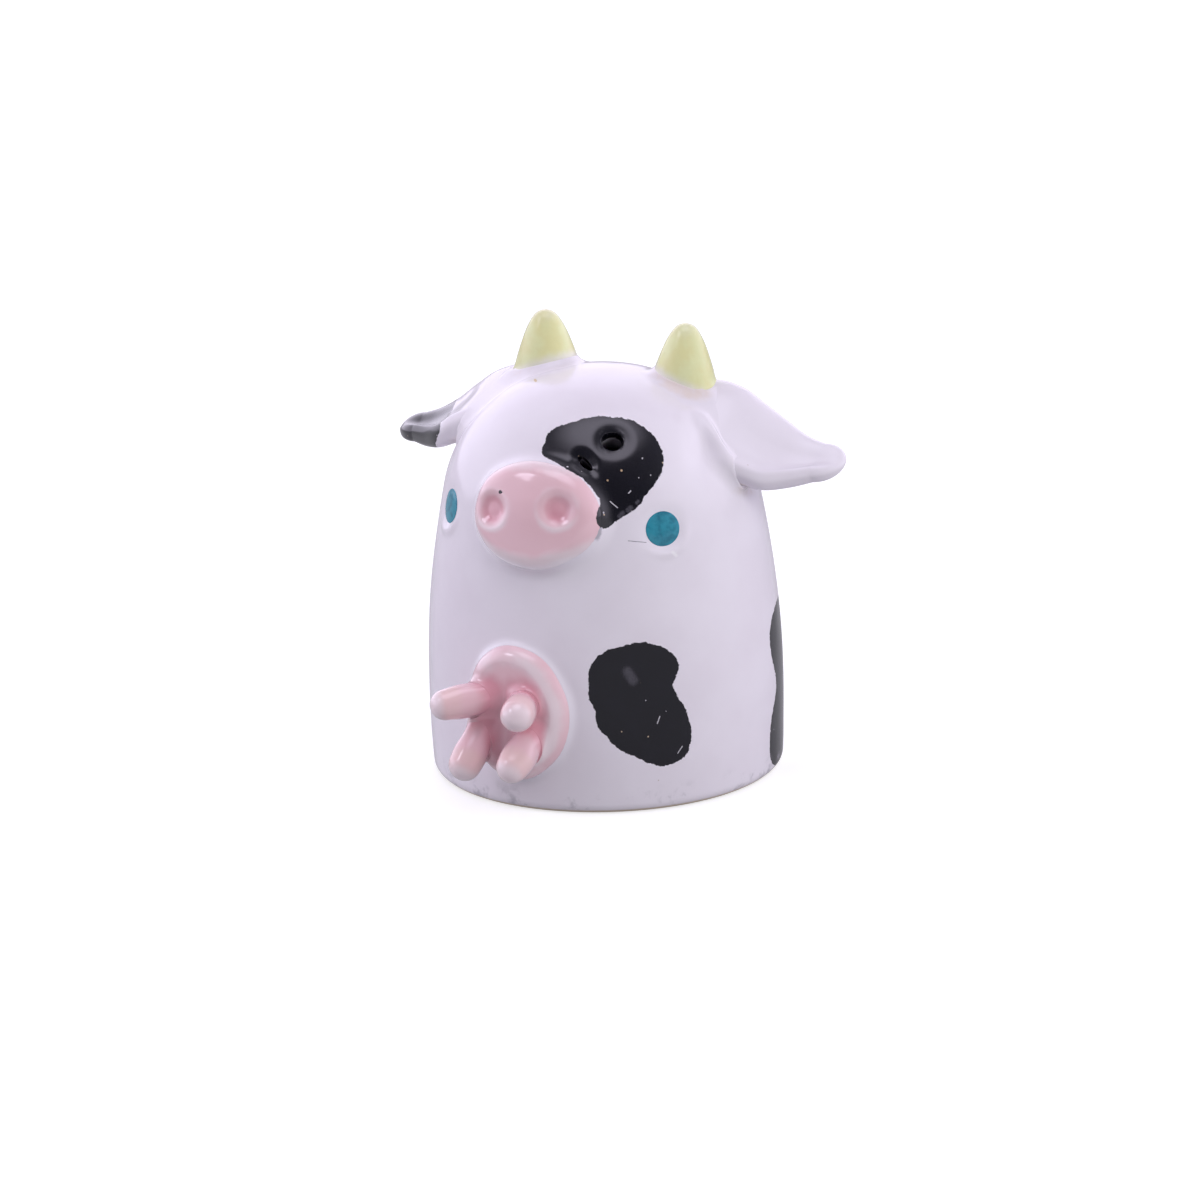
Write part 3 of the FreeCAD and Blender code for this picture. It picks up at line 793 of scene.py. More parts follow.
class Recipe:
    """The node tree of one finish."""

    def __init__(self, name: str, world: bool = False) -> None:
        """Start a material, or the world, with an empty tree.

        Args:
            name: Its name.
            world: Whether it is the world.
        """
        self.material = (bpy.data.worlds if world else bpy.data.materials).new(name)
        if world:
            bpy.context.scene.world = self.material
        self.material.use_nodes = True
        self.tree = self.material.node_tree
        self.tree.nodes.clear()

    def add(
        self, kind: str, settings: dict | None = None, inputs: dict | None = None, output: int | str = 0,
    ) -> Wire:
        """Add a node.

        Args:
            kind: Its type.
            settings: Its own properties, set first.
            inputs: Values or wires of its sockets, by number or name.
            output: The output that is wanted.

        Returns:
            That output.
        """
        node = self.tree.nodes.new(kind)
        for name, value in (settings or {}).items():
            setattr(node, name, value)
        for name, value in (inputs or {}).items():
            if isinstance(value, Wire):
                self.tree.links.new(value.socket, node.inputs[name])
            else:
                socket = node.inputs[name]
                colour = socket.type == "RGBA" and len(value) == 3
                socket.default_value = (*value, 1.0) if colour else value
        return Wire(self, node.outputs[output] if len(node.outputs) else None)

    def place(self) -> Wire:
        """Object coordinates in millimetres."""
        spot = self.add("ShaderNodeTexCoord", output="Object")
        return self.add("ShaderNodeVectorMath", {"operation": "SCALE"}, {0: spot, "Scale": 1.0 / METRES})

    def grain(self, scale: float, detail: float, rough: float = 0.5) -> Wire:
        """Noise over the piece.

        Args:
            scale: Waves to the millimetre.
            detail: Octaves.
            rough: Share of each finer octave.

        Returns:
            The noise.
        """
        inputs = {"Vector": self.place(), "Scale": scale, "Detail": detail, "Roughness": rough}
        return self.add("ShaderNodeTexNoise", None, inputs)

    def mark(self, name: str) -> Wire:
        """A number kept on the mesh."""
        return self.add("ShaderNodeAttribute", {"attribute_name": name}, None, "Fac")

    def mix(self, share: Wire | float, first: Wire | Colour, second: Wire | Colour) -> Wire:
        """Blend two colours.

        Args:
            share: How much of the second.
            first: A colour.
            second: Another.

        Returns:
            The blend.
        """
        return self.add("ShaderNodeMix", {"data_type": "RGBA"}, {0: share, 6: first, 7: second}, 2)

    def specks(self, spacing: float, size: float, spread: float, seed: float) -> Wire:
        """Scattered specks, as a mask.

        Args:
            spacing: Millimetres between their cells.
            size: Radius of a speck, as a share of the spacing.
            spread: Share of the cells that stay empty.
            seed: Shift of the pattern.

        Returns:
            The mask.
        """
        shift = {0: self.place(), 1: (seed, seed * 2.0, -seed)}
        shifted = self.add("ShaderNodeVectorMath", {"operation": "ADD"}, shift)
        settings = {"voronoi_dimensions": "3D", "feature": "F1"}
        inputs = {"Vector": shifted, "Scale": 1.0 / spacing}
        away = self.add("ShaderNodeTexVoronoi", settings, inputs, "Distance")
        chance = self.add("ShaderNodeSeparateColor", None, {0: away.twin("Color")})
        return away.step(size, size * 0.55) * chance.step(spread, spread + 0.02)

    def finish(
        self, base: Wire, rough: Wire, bump: Wire, depth: float, **others: Wire | float,
    ) -> bpy.types.Material:
        """Close the tree with a Principled shader.

        Args:
            base: Base colour.
            rough: Roughness.
            bump: Height of the surface detail, in shares of depth.
            depth: Height of the surface detail, in millimetres.
            others: Other sockets, by name with underscores for spaces.

        Returns:
            The material.
        """
        relief = {"Height": bump, "Distance": depth * METRES, "Strength": 1.0}
        inputs = {"Base Color": base, "Roughness": rough, "Normal": self.add("ShaderNodeBump", None, relief)}
        inputs.update({name.replace("_", " "): value for name, value in others.items()})
        shader = self.add("ShaderNodeBsdfPrincipled", None, inputs)
        self.add("ShaderNodeOutputMaterial", None, {"Surface": shader})
        return self.material


# Shift of the kept places: a point without one reads as zero and so lies far from every stroke
SEEN_SHIFT = 100.0
PALE = (0.62, 0.60, 0.66)
TAN = (0.60, 0.42, 0.26)
DUSK = (0.16, 0.15, 0.19)
# Painted reflection: grey sheen on the black patches, at the brow patch's ragged lower tip and on the body
# patch
PAINTED_REFLECTION_GREY = (0.085, 0.08, 0.10)
# Painted highlight: the white glint on the lower lip of an eye's dish
PAINTED_HIGHLIGHT_WHITE = (0.95, 0.93, 0.97)
# Heart of a stroke that has no solid middle
SMEARED = -0.3


@dataclass(frozen=True)
class Stroke:
    """A stroke in millimetres of the flat view: a scratch, a speck, a painted highlight, a painted
    reflection.

    Its mask is full where the squared distance, roughened, is under the heart's share of the
    squared width, and none past the rim's share.
    """

    start: tuple[float, float]
    end: tuple[float, float]
    width: float
    colour: Colour
    heart: float = 0.16
    rim: float = 0.81

    def mask(self, recipe: Recipe) -> Wire:
        """Where the stroke lies.

        Args:
            recipe: The tree to build in.

        Returns:
            The mask.
        """
        across = recipe.mark("seen_across") - (self.start[0] + SEEN_SHIFT)
        up = recipe.mark("seen_up") - (self.start[1] + SEEN_SHIFT)
        run = (self.end[0] - self.start[0], self.end[1] - self.start[1])
        square = max(run[0] ** 2 + run[1] ** 2, 1e-6)
        share = ((across * run[0] + up * run[1]) / square).most(0.0).least(1.0)
        side, rise = across - share * run[0], up - share * run[1]
        whole = self.width**2
        ragged = (recipe.grain(6.0, 2.0) - 0.5) * whole
        return (side * side + rise * rise + ragged).step(self.rim * whole, self.heart * whole)


FLAWS_AND_REFLECTIONS = (
    Stroke((1.2, 8.7), (2.2, 7.8), 0.10, PALE), Stroke((3.8, 9.8), (4.1, 10.1), 0.12, PALE),
    # The smeared grey strokes on the brow patch's lower tip are painted reflections; the white one under the
    # eye is a painted highlight
    Stroke((2.5, 6.6), (2.9, 7.0), 0.55, PAINTED_REFLECTION_GREY, SMEARED), Stroke((3.7, 7.4), (4.0, 7.7), 0.6, PAINTED_REFLECTION_GREY, SMEARED),
    Stroke((4.9, 8.4), (5.1, 8.6), 0.4, PAINTED_REFLECTION_GREY, SMEARED), Stroke((9.8, 1.3), (10.2, 0.9), 0.4, PAINTED_HIGHLIGHT_WHITE, SMEARED),
    Stroke((2.9, 13.0), (2.9, 13.0), 0.22, TAN),
    Stroke((0.9, 11.7), (0.9, 11.7), 0.20, TAN), Stroke((5.9, 14.6), (5.9, 14.6), 0.16, PALE),
    Stroke((7.0, 12.2), (7.0, 12.2), 0.14, PALE), Stroke((5.3, 11.9), (5.3, 11.9), 0.12, PALE),
    Stroke((3.6, 3.1), (6.1, 2.8), 0.07, DUSK), Stroke((-8.8, 26.1), (-8.7, 26.0), 0.25, TAN),
    # The wide smeared grey stroke on the body patch is a painted reflection
    Stroke((6.9, -22.6), (7.3, -21.6), 0.10, PALE), Stroke((3.0, -15.2), (3.7, -16.4), 1.1, PAINTED_REFLECTION_GREY, SMEARED),
    Stroke((9.6, -26.9), (10.3, -25.9), 0.08, PALE),
    Stroke((5.4, -19.3), (5.4, -19.3), 0.12, PALE), Stroke((8.2, -20.9), (8.2, -20.9), 0.10, PALE),
)


@dataclass(frozen=True)
class WhiteGlaze:
    """Glossy off-white glaze with a lavender cast, black underglaze patches and small flaws, thin brownish
    glaze at the horn roots, painted shade under the ears, and painted highlights and reflections.
    """

    body: Colour = (0.81, 0.765, 0.845)
    shade: Colour = (0.78, 0.73, 0.81)
    thin_glaze_and_shade_tint: Colour = (0.72, 0.60, 0.53)
    black: Colour = (0.005, 0.005, 0.009)
    grey: Colour = (0.006, 0.006, 0.011)
    rust: Colour = (0.55, 0.42, 0.30)
    smudge: Colour = (0.36, 0.34, 0.40)
    foot: Colour = (0.62, 0.52, 0.42)
    fleck: Colour = (0.42, 0.33, 0.26)
    flaws_and_reflections: tuple[Stroke, ...] = FLAWS_AND_REFLECTIONS
    gloss_low: float = 30.0
    gloss_high: float = 38.0

    def material(self) -> bpy.types.Material:
        """Build the material.

        Returns:
            The material.
        """
        r = Recipe(Slot.WHITE.value)
        cloud = r.grain(0.09, 3.0).step(0.35, 0.68)
        base = r.mix(cloud, self.body, self.shade)
        # Brownish thin glaze at the horn roots, and painted shade under the ears in the same tint
        thin = (r.mark("thin") + (r.grain(0.9, 3.0) - 0.5) * 0.5).step(0.25, 1.0)
        base = r.mix(thin * 0.75, base, self.thin_glaze_and_shade_tint)
        specks = r.specks(5.5, 0.030, 0.45, 3.0) * 0.55
        base = r.mix(specks, base, self.fleck)
        ragged = (r.grain(1.1, 4.0, 0.65) - 0.5) * 0.75 + (r.grain(5.0, 2.0) - 0.5) * 0.16
        inside = r.mark("patch") + ragged
        chips = r.specks(1.9, 0.10, 0.72, 11.0)
        patch = inside.step(-0.05, 0.05) * (1.0 - chips * inside.step(2.2, 0.2) * 0.85)
        ink = r.mix(r.grain(0.35, 3.0).step(0.45, 0.7), self.black, self.grey)
        ink = r.mix(r.specks(2.6, 0.06, 0.55, 5.0), ink, self.rust)
        base = r.mix(patch, base, ink)
        drip = (r.mark("drip") + (r.grain(2.5, 3.0) - 0.5) * 0.5).step(0.85, 1.25)
        base = r.mix(drip * (1.0 - patch) * 0.8, base, self.smudge)
        for stroke in self.flaws_and_reflections:
            base = r.mix(stroke.mask(r) * 0.85, base, stroke.colour)
        grime = r.mark("low") * r.grain(0.35, 4.0, 0.6).step(0.52, 0.72)
        base = r.mix(grime * 0.7, base, self.smudge)
        bare = r.mark("bare").step(0.2, 0.8)
        base = r.mix(bare, base, self.foot)
        height = r.add("ShaderNodeSeparateXYZ", None, {0: r.place()}, "Z")
        coat = patch * height.step(self.gloss_low, self.gloss_high)
        rough = 0.09 + r.grain(0.5, 2.0) * 0.05 + bare * 0.6 + coat * 0.13
        ripple = r.grain(0.12, 1.0) + r.grain(0.7, 1.0) * 0.08
        return r.finish(base, rough, ripple, 0.16, IOR=1.5, Coat_Weight=coat, Coat_Roughness=0.17)


@dataclass(frozen=True)
class PinkGlaze:
    """Glossy pale pink glaze that pools darker in hollows and thins to white on edges, with painted
    highlights on the nostril rims and the udder's rim.
    """

    body: Colour = (0.81, 0.54, 0.60)
    deep: Colour = (0.70, 0.32, 0.39)
    pale: Colour = (0.85, 0.71, 0.76)
    white: Colour = (0.90, 0.83, 0.89)
    peach: Colour = (0.81, 0.59, 0.56)
    ink: Colour = WhiteGlaze.grey

    def material(self) -> bpy.types.Material:
        """Build the material.

        Returns:
            The material.
        """
        r = Recipe(Slot.PINK.value)
        mottled = (r.grain(0.35, 3.0) - 0.5) * 0.7
        base = r.mix((r.mark("peach") + mottled).step(0.3, 1.0) * 0.6, self.body, self.peach)
        base = r.mix((r.mark("pool") + mottled).step(0.1, 1.1), base, self.deep)
        # The edge mark also carries painted highlights: the nostrils' lower rims and a streak on the udder's
        # rim
        base = r.mix((r.mark("edge") + mottled).step(0.15, 0.95), base, self.pale)
        base = r.mix((r.mark("edge") + mottled * 0.4).step(0.9, 1.6), base, self.white)
        ink = (r.mark("patch") + (r.grain(1.1, 4.0, 0.65) - 0.5) * 0.5).step(-0.05, 0.05)
        base = r.mix(ink, base, self.ink)
        rough = 0.08 + r.grain(0.6, 2.0) * 0.05
        ripple = r.grain(0.25, 1.0) + r.grain(1.1, 1.0) * 0.06
        return r.finish(base, rough, ripple, 0.18, IOR=1.5, Coat_Weight=1.0, Coat_Roughness=0.09)


@dataclass(frozen=True)
class HornGlaze:
    """Pale yellow-green translucent glaze, thinner and whiter at the root and the tip."""

    body: Colour = (0.74, 0.72, 0.38)
    green: Colour = (0.76, 0.78, 0.45)
    pale: Colour = (0.80, 0.78, 0.70)

    def material(self) -> bpy.types.Material:
        """Build the material.

        Returns:
            The material.
        """
        r = Recipe(Slot.HORN.value)
        base = r.mix(r.grain(0.30, 3.0).step(0.35, 0.65), self.body, self.green)
        fade = (r.mark("edge") + (r.grain(0.8, 3.0) - 0.5) * 0.4).step(0.1, 1.0)
        base = r.mix(fade, base, self.pale)
        rough = 0.10 + r.grain(0.6, 2.0) * 0.05
        return r.finish(base, rough, r.grain(0.4, 2.0), 0.15, IOR=1.5)


@dataclass(frozen=True)
class TurquoiseGlaze:
    """Deep glossy turquoise glaze, broken by darker mottling."""

    body: Colour = (0.035, 0.27, 0.37)
    dark: Colour = (0.02, 0.17, 0.25)
    speck: Colour = (0.01, 0.07, 0.11)

    def material(self) -> bpy.types.Material:
        """Build the material.

        Returns:
            The material.
        """
        r = Recipe(Slot.TURQUOISE.value)
        base = r.mix(r.grain(0.9, 4.0).step(0.4, 0.7), self.body, self.dark)
        base = r.mix(r.specks(0.9, 0.10, 0.6, 2.0) * 0.7, base, self.speck)
        return r.finish(base, 0.10 + r.grain(1.0, 2.0) * 0.06, r.grain(1.2, 2.0), 0.05, IOR=1.5)


@dataclass(frozen=True)
class BareClay:
    """Unglazed fired clay of the base slab, dry and slightly sandy."""

    body: Colour = (0.66, 0.57, 0.47)
    dark: Colour = (0.50, 0.41, 0.33)
    grit: Colour = (0.30, 0.23, 0.18)

    def material(self) -> bpy.types.Material:
        """Build the material.

        Returns:
            The material.
        """
        r = Recipe("bare_clay")
        base = r.mix(r.grain(0.25, 5.0).step(0.4, 0.65), self.body, self.dark)
        base = r.mix(r.specks(1.6, 0.10, 0.6, 4.0) * 0.7, base, self.grit)
        return r.finish(base, 0.65 + r.grain(0.8, 3.0) * 0.2, r.grain(3.0, 4.0), 0.06)


@dataclass(frozen=True)
class StopperRubber:
    """Soft off-white rubber with a faint matt texture."""

    body: Colour = (0.62, 0.60, 0.55)
    dust: Colour = (0.50, 0.48, 0.43)

    def material(self) -> bpy.types.Material:
        """Build the material.

        Returns:
            The material.
        """
        r = Recipe(Slot.RUBBER.value)
        base = r.mix(r.grain(0.4, 4.0).step(0.4, 0.7), self.body, self.dust)
        return r.finish(base, 0.5 + r.grain(2.0, 2.0) * 0.15, r.grain(6.0, 2.0), 0.02)


# Luted pieces
@dataclass
class Horn:
    """A pinched cone with a rounded tip, leaning outward on its side of the crown."""

    side: Side
    lean: float
    across: float = 10.5
    back: float = 5.6
    length: float = 10.4
    sink: float = 1.5
    tip: float = 2.0
    root: float = 4.25
    root_rise: float = 3.2
    bow: float = 16.0
    flare: float = 5.0
    flare_turn: float = -34.0
    foot: float = -4.0

    def shape(self) -> Clay:
        """Spin the horn and set it on the crown.

        Returns:
            The clay.
        """
        clay = Clay()
        centre = np.array((0.0, self.length - self.tip))
        end = np.array((self.root, self.root_rise))
        apart = float(np.linalg.norm(end - centre))
        ahead = (end - centre) / apart
        along = ((self.bow - self.tip) ** 2 - self.bow**2 + apart**2) / (2 * apart)
        aside = math.sqrt((self.bow - self.tip) ** 2 - along**2)
        hub = centre + ahead * along + np.array((ahead[1], -ahead[0])) * aside
        tip_turn = math.degrees(math.atan2(*(centre - hub)))
        root_turn = math.degrees(math.atan2(*(end - hub)))
        flare = end + (end - hub) / self.bow * self.flare
        section = HalfSection(clay, (0.0, self.length))
        section.arc(tuple(centre), tip_turn, 14).arc(tuple(hub), root_turn - tip_turn, 24)
        section.arc(tuple(flare), self.flare_turn, 12)
        section.run((section.tip.co.x, self.foot), 8)
        section.turned(72)
        clay.close()
        points = clay.places()
        rise = points[:, 2].copy()
        # A little out of round, as pinched clay is
        points[:, 0] *= 1.0 + 0.03 * np.sin(rise * 0.8)
        lean = math.radians(self.lean * self.side.value)
        tilt = np.array(Matrix.Rotation(lean, 3, "Y"))
        reach = math.hypot(self.across, self.back)
        seat = FORM.shoulder[1] + math.sqrt(FORM.shoulder_radius**2 - (reach - FORM.shoulder[0]) ** 2)
        points = points @ tilt.T + np.array((self.across * self.side.value, self.back, seat - self.sink))
        clay.put(points)
        root = 1.15 - ease(0.2, 3.0, FORM.skin(points)[0]) * 1.1
        clay.mark("edge", root + ease(self.length - 2.6, self.length, rise) * 0.35)
        return clay


@dataclass
class Ear:
    """A thick leaf of clay, laid back from a crisp front edge and drooping to a round tip."""

    side: Side
    tilt: float
    root_drop: float
    tip_drop: float
    width: float
    reference_drop: float = 12.1
    thickness: float = 7.0
    root_side: float = 9.0
    span: float = 34.33
    root_back: float = 3.0
    tip_back: float = 7.2
    body_end: float = 0.80
    # Down the middle line: shares of the reach, sweep, drop, width and thickness
    stations: tuple[tuple[float, float, float, float, float], ...] = (
        (0.00, 0.00, 0.28, 0.84, 0.86),
        (0.20, 0.00, 0.00, 0.99, 1.00),
        (0.37, 0.00, 0.13, 1.00, 0.91),
        (0.51, 0.12, 0.44, 0.88, 0.77),
        (0.63, 0.24, 0.74, 0.78, 0.60),
        (0.75, 0.48, 0.93, 0.58, 0.50),
        (0.86, 0.71, 0.98, 0.42, 0.40),
    )

    def shape(self) -> Clay:
        """Wrap a grid into the ear.

        Returns:
            The clay.
        """
        clay = Clay()
        along, round_share = leaf_grid(clay, 110, 96)
        table = np.array(self.stations)
        body_end = self.body_end
        row = np.clip(along / body_end, 0.0, 1.0) * (len(table) - 1)
        reach, sweep, drop, width, thick = through(table, row).T
        tipward = np.clip((along - body_end) / (1 - body_end), 0.0, 1.0)
        curl = np.sin(tipward * math.pi / 2)
        reach, sweep, drop = (part + (1.0 - part) * curl for part in (reach, sweep, drop))
        shrink = np.cos(tipward * math.pi / 2)
        width = width * shrink * self.width / 2
        thick = thick * shrink * self.thickness / 2
        angle = round_share * math.tau
        cosine, sine = np.cos(angle), np.sin(angle)
        crisp = 2.4 + 1.8 * ease(0.22, 0.42, along)
        square = np.where(cosine < 0, np.where(sine > 0, crisp, 2.6), 2.4)
        across = np.sign(cosine) * np.abs(cosine) ** (2 / square) * width
        up = np.sign(sine) * np.abs(sine) ** (2 / square) * thick
        ridge = np.exp(-(((across + width - 1.1) / 0.75) ** 2)) * (sine > 0)
        hollow = np.exp(-(((across + width * 0.15) / (width * 0.5 + 0.1)) ** 2)) * (sine > 0)
        belly = ease(0.18, 0.45, along) * (1 - ease(0.75, 0.98, along))
        up = up + (ridge * 0.45 - hollow * 0.6) * belly
        height = FORM.height
        root = np.array((self.root_side, self.root_back, height - self.root_drop))
        tip = np.array((self.span, self.tip_back, height - self.reference_drop))
        sag = self.tip_drop - self.reference_drop
        lean = math.radians(self.tilt)
        flat = np.array((0.0, math.cos(lean), math.sin(lean)))
        rise = np.array((0.0, -math.sin(lean), math.cos(lean)))
        points = np.column_stack((
            self.side.value * (root[0] + (tip[0] - root[0]) * reach),
            root[1] + (tip[1] - root[1]) * sweep,
            root[2] + (tip[2] - root[2]) * drop - sag * reach**4,
        ))
        points += across[:, None] * flat + up[:, None] * rise
        clay.put(points)
        clay.mark("patch", self.painted(points))
        # The glaze runs thin and brownish under the root, with painted shade laid there in the same tint
        clay.mark("thin", (1 - ease(0.5, 4.5, FORM.skin(points)[0])) * (up < 0) * 0.6)
        clay.weld()
        return clay

    def painted(self, points: np.ndarray) -> np.ndarray:
        """How far inside the black paint of the right ear's outer half each point lies.

        Args:
            points: Rows of points.

        Returns:
            Distances, negative outside.
        """
        if self.side is Side.LEFT:
            return np.full(len(points), UNPAINTED)
        edge = 24.6 + 0.10 * (points[:, 2] - 45.0) + 0.8 * np.sin(points[:, 2] * 0.9)
        return np.abs(points[:, 0]) - edge


@dataclass
class Pad:
    """An oval of clay laid on the dome, with a rounded rim."""

    spot: Spot
    width: float
    depth: float
    thickness: float
    rounding: float
    swell: float
    sunk: float = 3.6
    waver: float = 0.008
    face: float = 0.62
    bend: float = 0.84
    rings: int = 60
    spokes: int = 220

    def shape(self) -> tuple[Clay, np.ndarray, np.ndarray, np.ndarray]:
        """Wrap a grid into the pad: its face, its rounded bend and its wall down into the dome.

        Returns:
            The clay, and for each vertex its places across and up and its share of the way out.
        """
        clay = Clay()
        out, turn = leaf_grid(clay, self.rings, self.spokes)
        angle = turn * math.tau
        half = np.array((self.width, self.depth)) / 2
        spread = np.clip(out / self.face, 0, 1)
        corner = np.clip((out - self.face) / (self.bend - self.face), 0, 1) * math.pi / 2
        wall = np.clip((out - self.bend) / (1 - self.bend), 0, 1)
        waves = np.sin(angle * 3 + 1.0) + 0.7 * np.sin(angle * 5 + 2.6) + 0.5 * np.sin(angle * 8)
        reach = (half - self.rounding) * spread[:, None] + self.rounding * np.sin(corner)[:, None]
        reach *= (1.0 + self.waver * waves)[:, None]
        across, up = reach[:, 0] * np.cos(angle), reach[:, 1] * np.sin(angle)
        lift = self.thickness - self.rounding * (1 - np.cos(corner)) + self.swell * (1 - spread**2)
        lift -= wall * (self.thickness - self.rounding + self.sunk)
        clay.put(FORM.lay(self.spot, across, up, lift))
        return clay, across, up, out


@dataclass
class Muzzle:
    """The pink muzzle pad with two pressed nostrils."""

    azimuth: float = 0.2
    height: float = 42.4
    width: float = 19.6
    depth: float = 15.4
    nostril_spacing: float = 10.2
    nostril_rise: float = 0.77
    nostril_aside: float = -0.83
    nostril_slant: float = 0.43
    nostril_radius: float = 3.0
    nostril_depth: float = 0.85
    speck: tuple[float, float] = (-14.2, 10.5)
    speck_radius: float = 0.28

    def shape(self) -> Clay:
        """Lay the pad and press the nostrils.

        Returns:
            The clay.
        """
        spot = FORM.spot(self.azimuth, self.height)
        pad = Pad(spot, self.width, self.depth, thickness=2.6, rounding=2.3, swell=0.2)
        clay, across, up, out = pad.shape()
        points = clay.places()
        pool = np.zeros(len(points))
        pale_rim_and_highlight = np.zeros(len(points))
        away = FORM.skin(points)[1]
        for side in Side:
            aside = across - side.value * self.nostril_spacing / 2 - self.nostril_aside
            above = up - self.nostril_rise - side.value * self.nostril_slant
            near = np.hypot(aside, above)
            dip = 1 - ease(0.9, self.nostril_radius, near)
            points -= away * (dip * self.nostril_depth)[:, None]
            pool = np.maximum(pool, (1 - ease(1.5, 2.5, near)) * 0.75)
            # The nostril rims whiten all round where the glaze thins, and more on their lower side as a
            # painted highlight
            low_side = np.clip(-above / np.maximum(near, 0.1), 0.0, 1.0)
            pale_rim_and_highlight = np.maximum(pale_rim_and_highlight, np.exp(-(((near - 2.9) / 0.65) ** 2)) * (0.35 + 0.45 * low_side))
        clay.put(points)
        rim = ease(0.54, 0.80, out) * (0.15 + 1.5 * (1 - ease(-6.8, -1.0, up)) + 0.6 * ease(3.5, 7.0, up))
        clay.mark("pool", pool)
        clay.mark("edge", np.maximum(rim, pale_rim_and_highlight))
        flat = SIGHT.seen(points)
        speck = self.speck_radius - np.linalg.norm(flat - self.speck, axis=1)
        clay.mark("patch", np.maximum(np.where(out > 0.66, BROW_PATCH.depth(flat), UNPAINTED), speck))
        clay.weld()
        return clay


@dataclass
class Teat:
    """A peg of clay with a round, slightly flattened end.

    Its place is counted in half gaps from the bed's middle; its azimuth and rise are degrees.
    """

    name: str
    across: float
    up: float
    azimuth: float
    rise: float
    length: float = 7.05
    root: float = 2.2
    tip: float = 2.05
    blunt: float = 0.12
    foot: float = -4.4
    bed_azimuth: float = -7.0
    bed_height: float = 13.7
    bed_lift: float = 2.2
    half_column_gap: float = 4.0
    half_row_gap: float = 2.7
    pad: float = 2.0

    def shape(self) -> Clay:
        """Spin the peg and set it on the udder pad.

        Returns:
            The clay.
        """
        clay = Clay()
        section = HalfSection(clay, (0.0, self.length))
        section.run((self.blunt, self.length), 3)
        section.arc((self.blunt, self.length - self.tip), 90.0, 14)
        section.run((self.root, 1.0), 18).run((self.root, self.foot), 8)
        section.turned(56)
        clay.close()
        points = clay.places()
        along = points[:, 2].copy()
        plump = 0.12 * np.exp(-(((along - 3.0) / 2.0) ** 2))
        points[:, 0] *= 1.0 + plump + 0.04 * np.sin(along * 0.9 + self.azimuth)
        points[:, 1] *= 1.0 + plump + 0.04 * np.sin(along * 0.7 + self.rise)
        height = self.bed_height + self.up * self.half_row_gap
        distance = float(np.hypot(*FORM.spot(0.0, height).centre[:2])) + self.bed_lift
        place = self.bed_azimuth + math.degrees(self.across * self.half_column_gap / distance)
        outward = heading(self.azimuth) * math.cos(math.radians(self.rise))
        outward[2] = math.sin(math.radians(self.rise))
        level = heading(self.azimuth + 90)
        turned = np.column_stack((level, np.cross(outward, level), outward))
        points = points @ turned.T + heading(place) * distance + np.array((0.0, 0.0, height))
        clay.put(points)
        lift = FORM.skin(points)[0] - self.pad
        clay.mark("pool", 0.9 * (1.0 - ease(0.3, 3.2, lift)))
        clay.mark("edge", 0.1 + 0.85 * ease(self.length - 2.4, self.length, along))
        clay.mark("peach", 0.35 + 0.4 * ease(2.0, 4.0, along))
        clay.mark("patch", np.full(len(points), UNPAINTED))
        return clay


TEATS = (
    Teat("teat_upper_right", -1.0, 1.0, -48.0, -5.0),
    Teat("teat_lower_right", -1.0, -1.0, -15.0, -47.0),
    Teat("teat_upper_left", 0.82, 1.0, 16.0, -1.0),
    Teat("teat_lower_left", 1.0, -1.0, -8.0, -31.0),
)


@dataclass
class Udder:
    """The udder pad, with slip smeared round the roots of its teats."""

    teat_trees: list[BVHTree]
    azimuth: float = -4.9
    height: float = 14.5
    width: float = 16.0
    depth: float = 19.4
    reach: float = 1.2
    look: float = 9.0

    def shape(self) -> Clay:
        """Lay the pad and smear it round the teats.

        Returns:
            The clay.
        """
        spot = FORM.spot(self.azimuth, self.height)
        pad = Pad(
            spot, self.width, self.depth, thickness=2.2, rounding=1.9, swell=-0.7, rings=90, spokes=240,
        )
        clay, across, up, out = pad.shape()
        points = clay.places()
        seams = [Luting(tree, self.reach) for tree in self.teat_trees]
        look = self.look / self.reach
        near = np.array([
            min((found[0] for seam in seams if (found := seam.gap(Vector(row), look))), default=look)
            for row in points
        ]) * self.reach
        face = out < 0.8
        points[face] = Slip(PadGround(clay.tree()), seams).smear(points[face])
        clay.put(points)
        lift = FORM.skin(points)[0] - Teat.pad
        clay.mark("pool", 0.9 * (1.0 - ease(0.3, 3.2, lift)) * (1.0 - ease(0.3, 3.4, near)))
        middle = np.exp(-((across / 2.4) ** 2) - ((up + 0.5) / 4.5) ** 2)
        # Painted highlight: a wet white streak along the right of the pad's rim
        rim_highlight = np.exp(-(((out - 0.66) / 0.05) ** 2)) * ease(0.5, 3.5, across) * ease(-8.0, -4.0, up)
        pale = np.maximum(ease(0.45, 0.62, out) * 0.45, middle * 0.4) * (1 - ease(0.70, 0.84, out) * 0.8)
        clay.mark("edge", 0.1 + pale + rim_highlight * 0.5)
        clay.mark("peach", 0.2 + middle * 0.5)
        clay.mark("patch", np.full(len(points), UNPAINTED))
        clay.weld()
        return clay


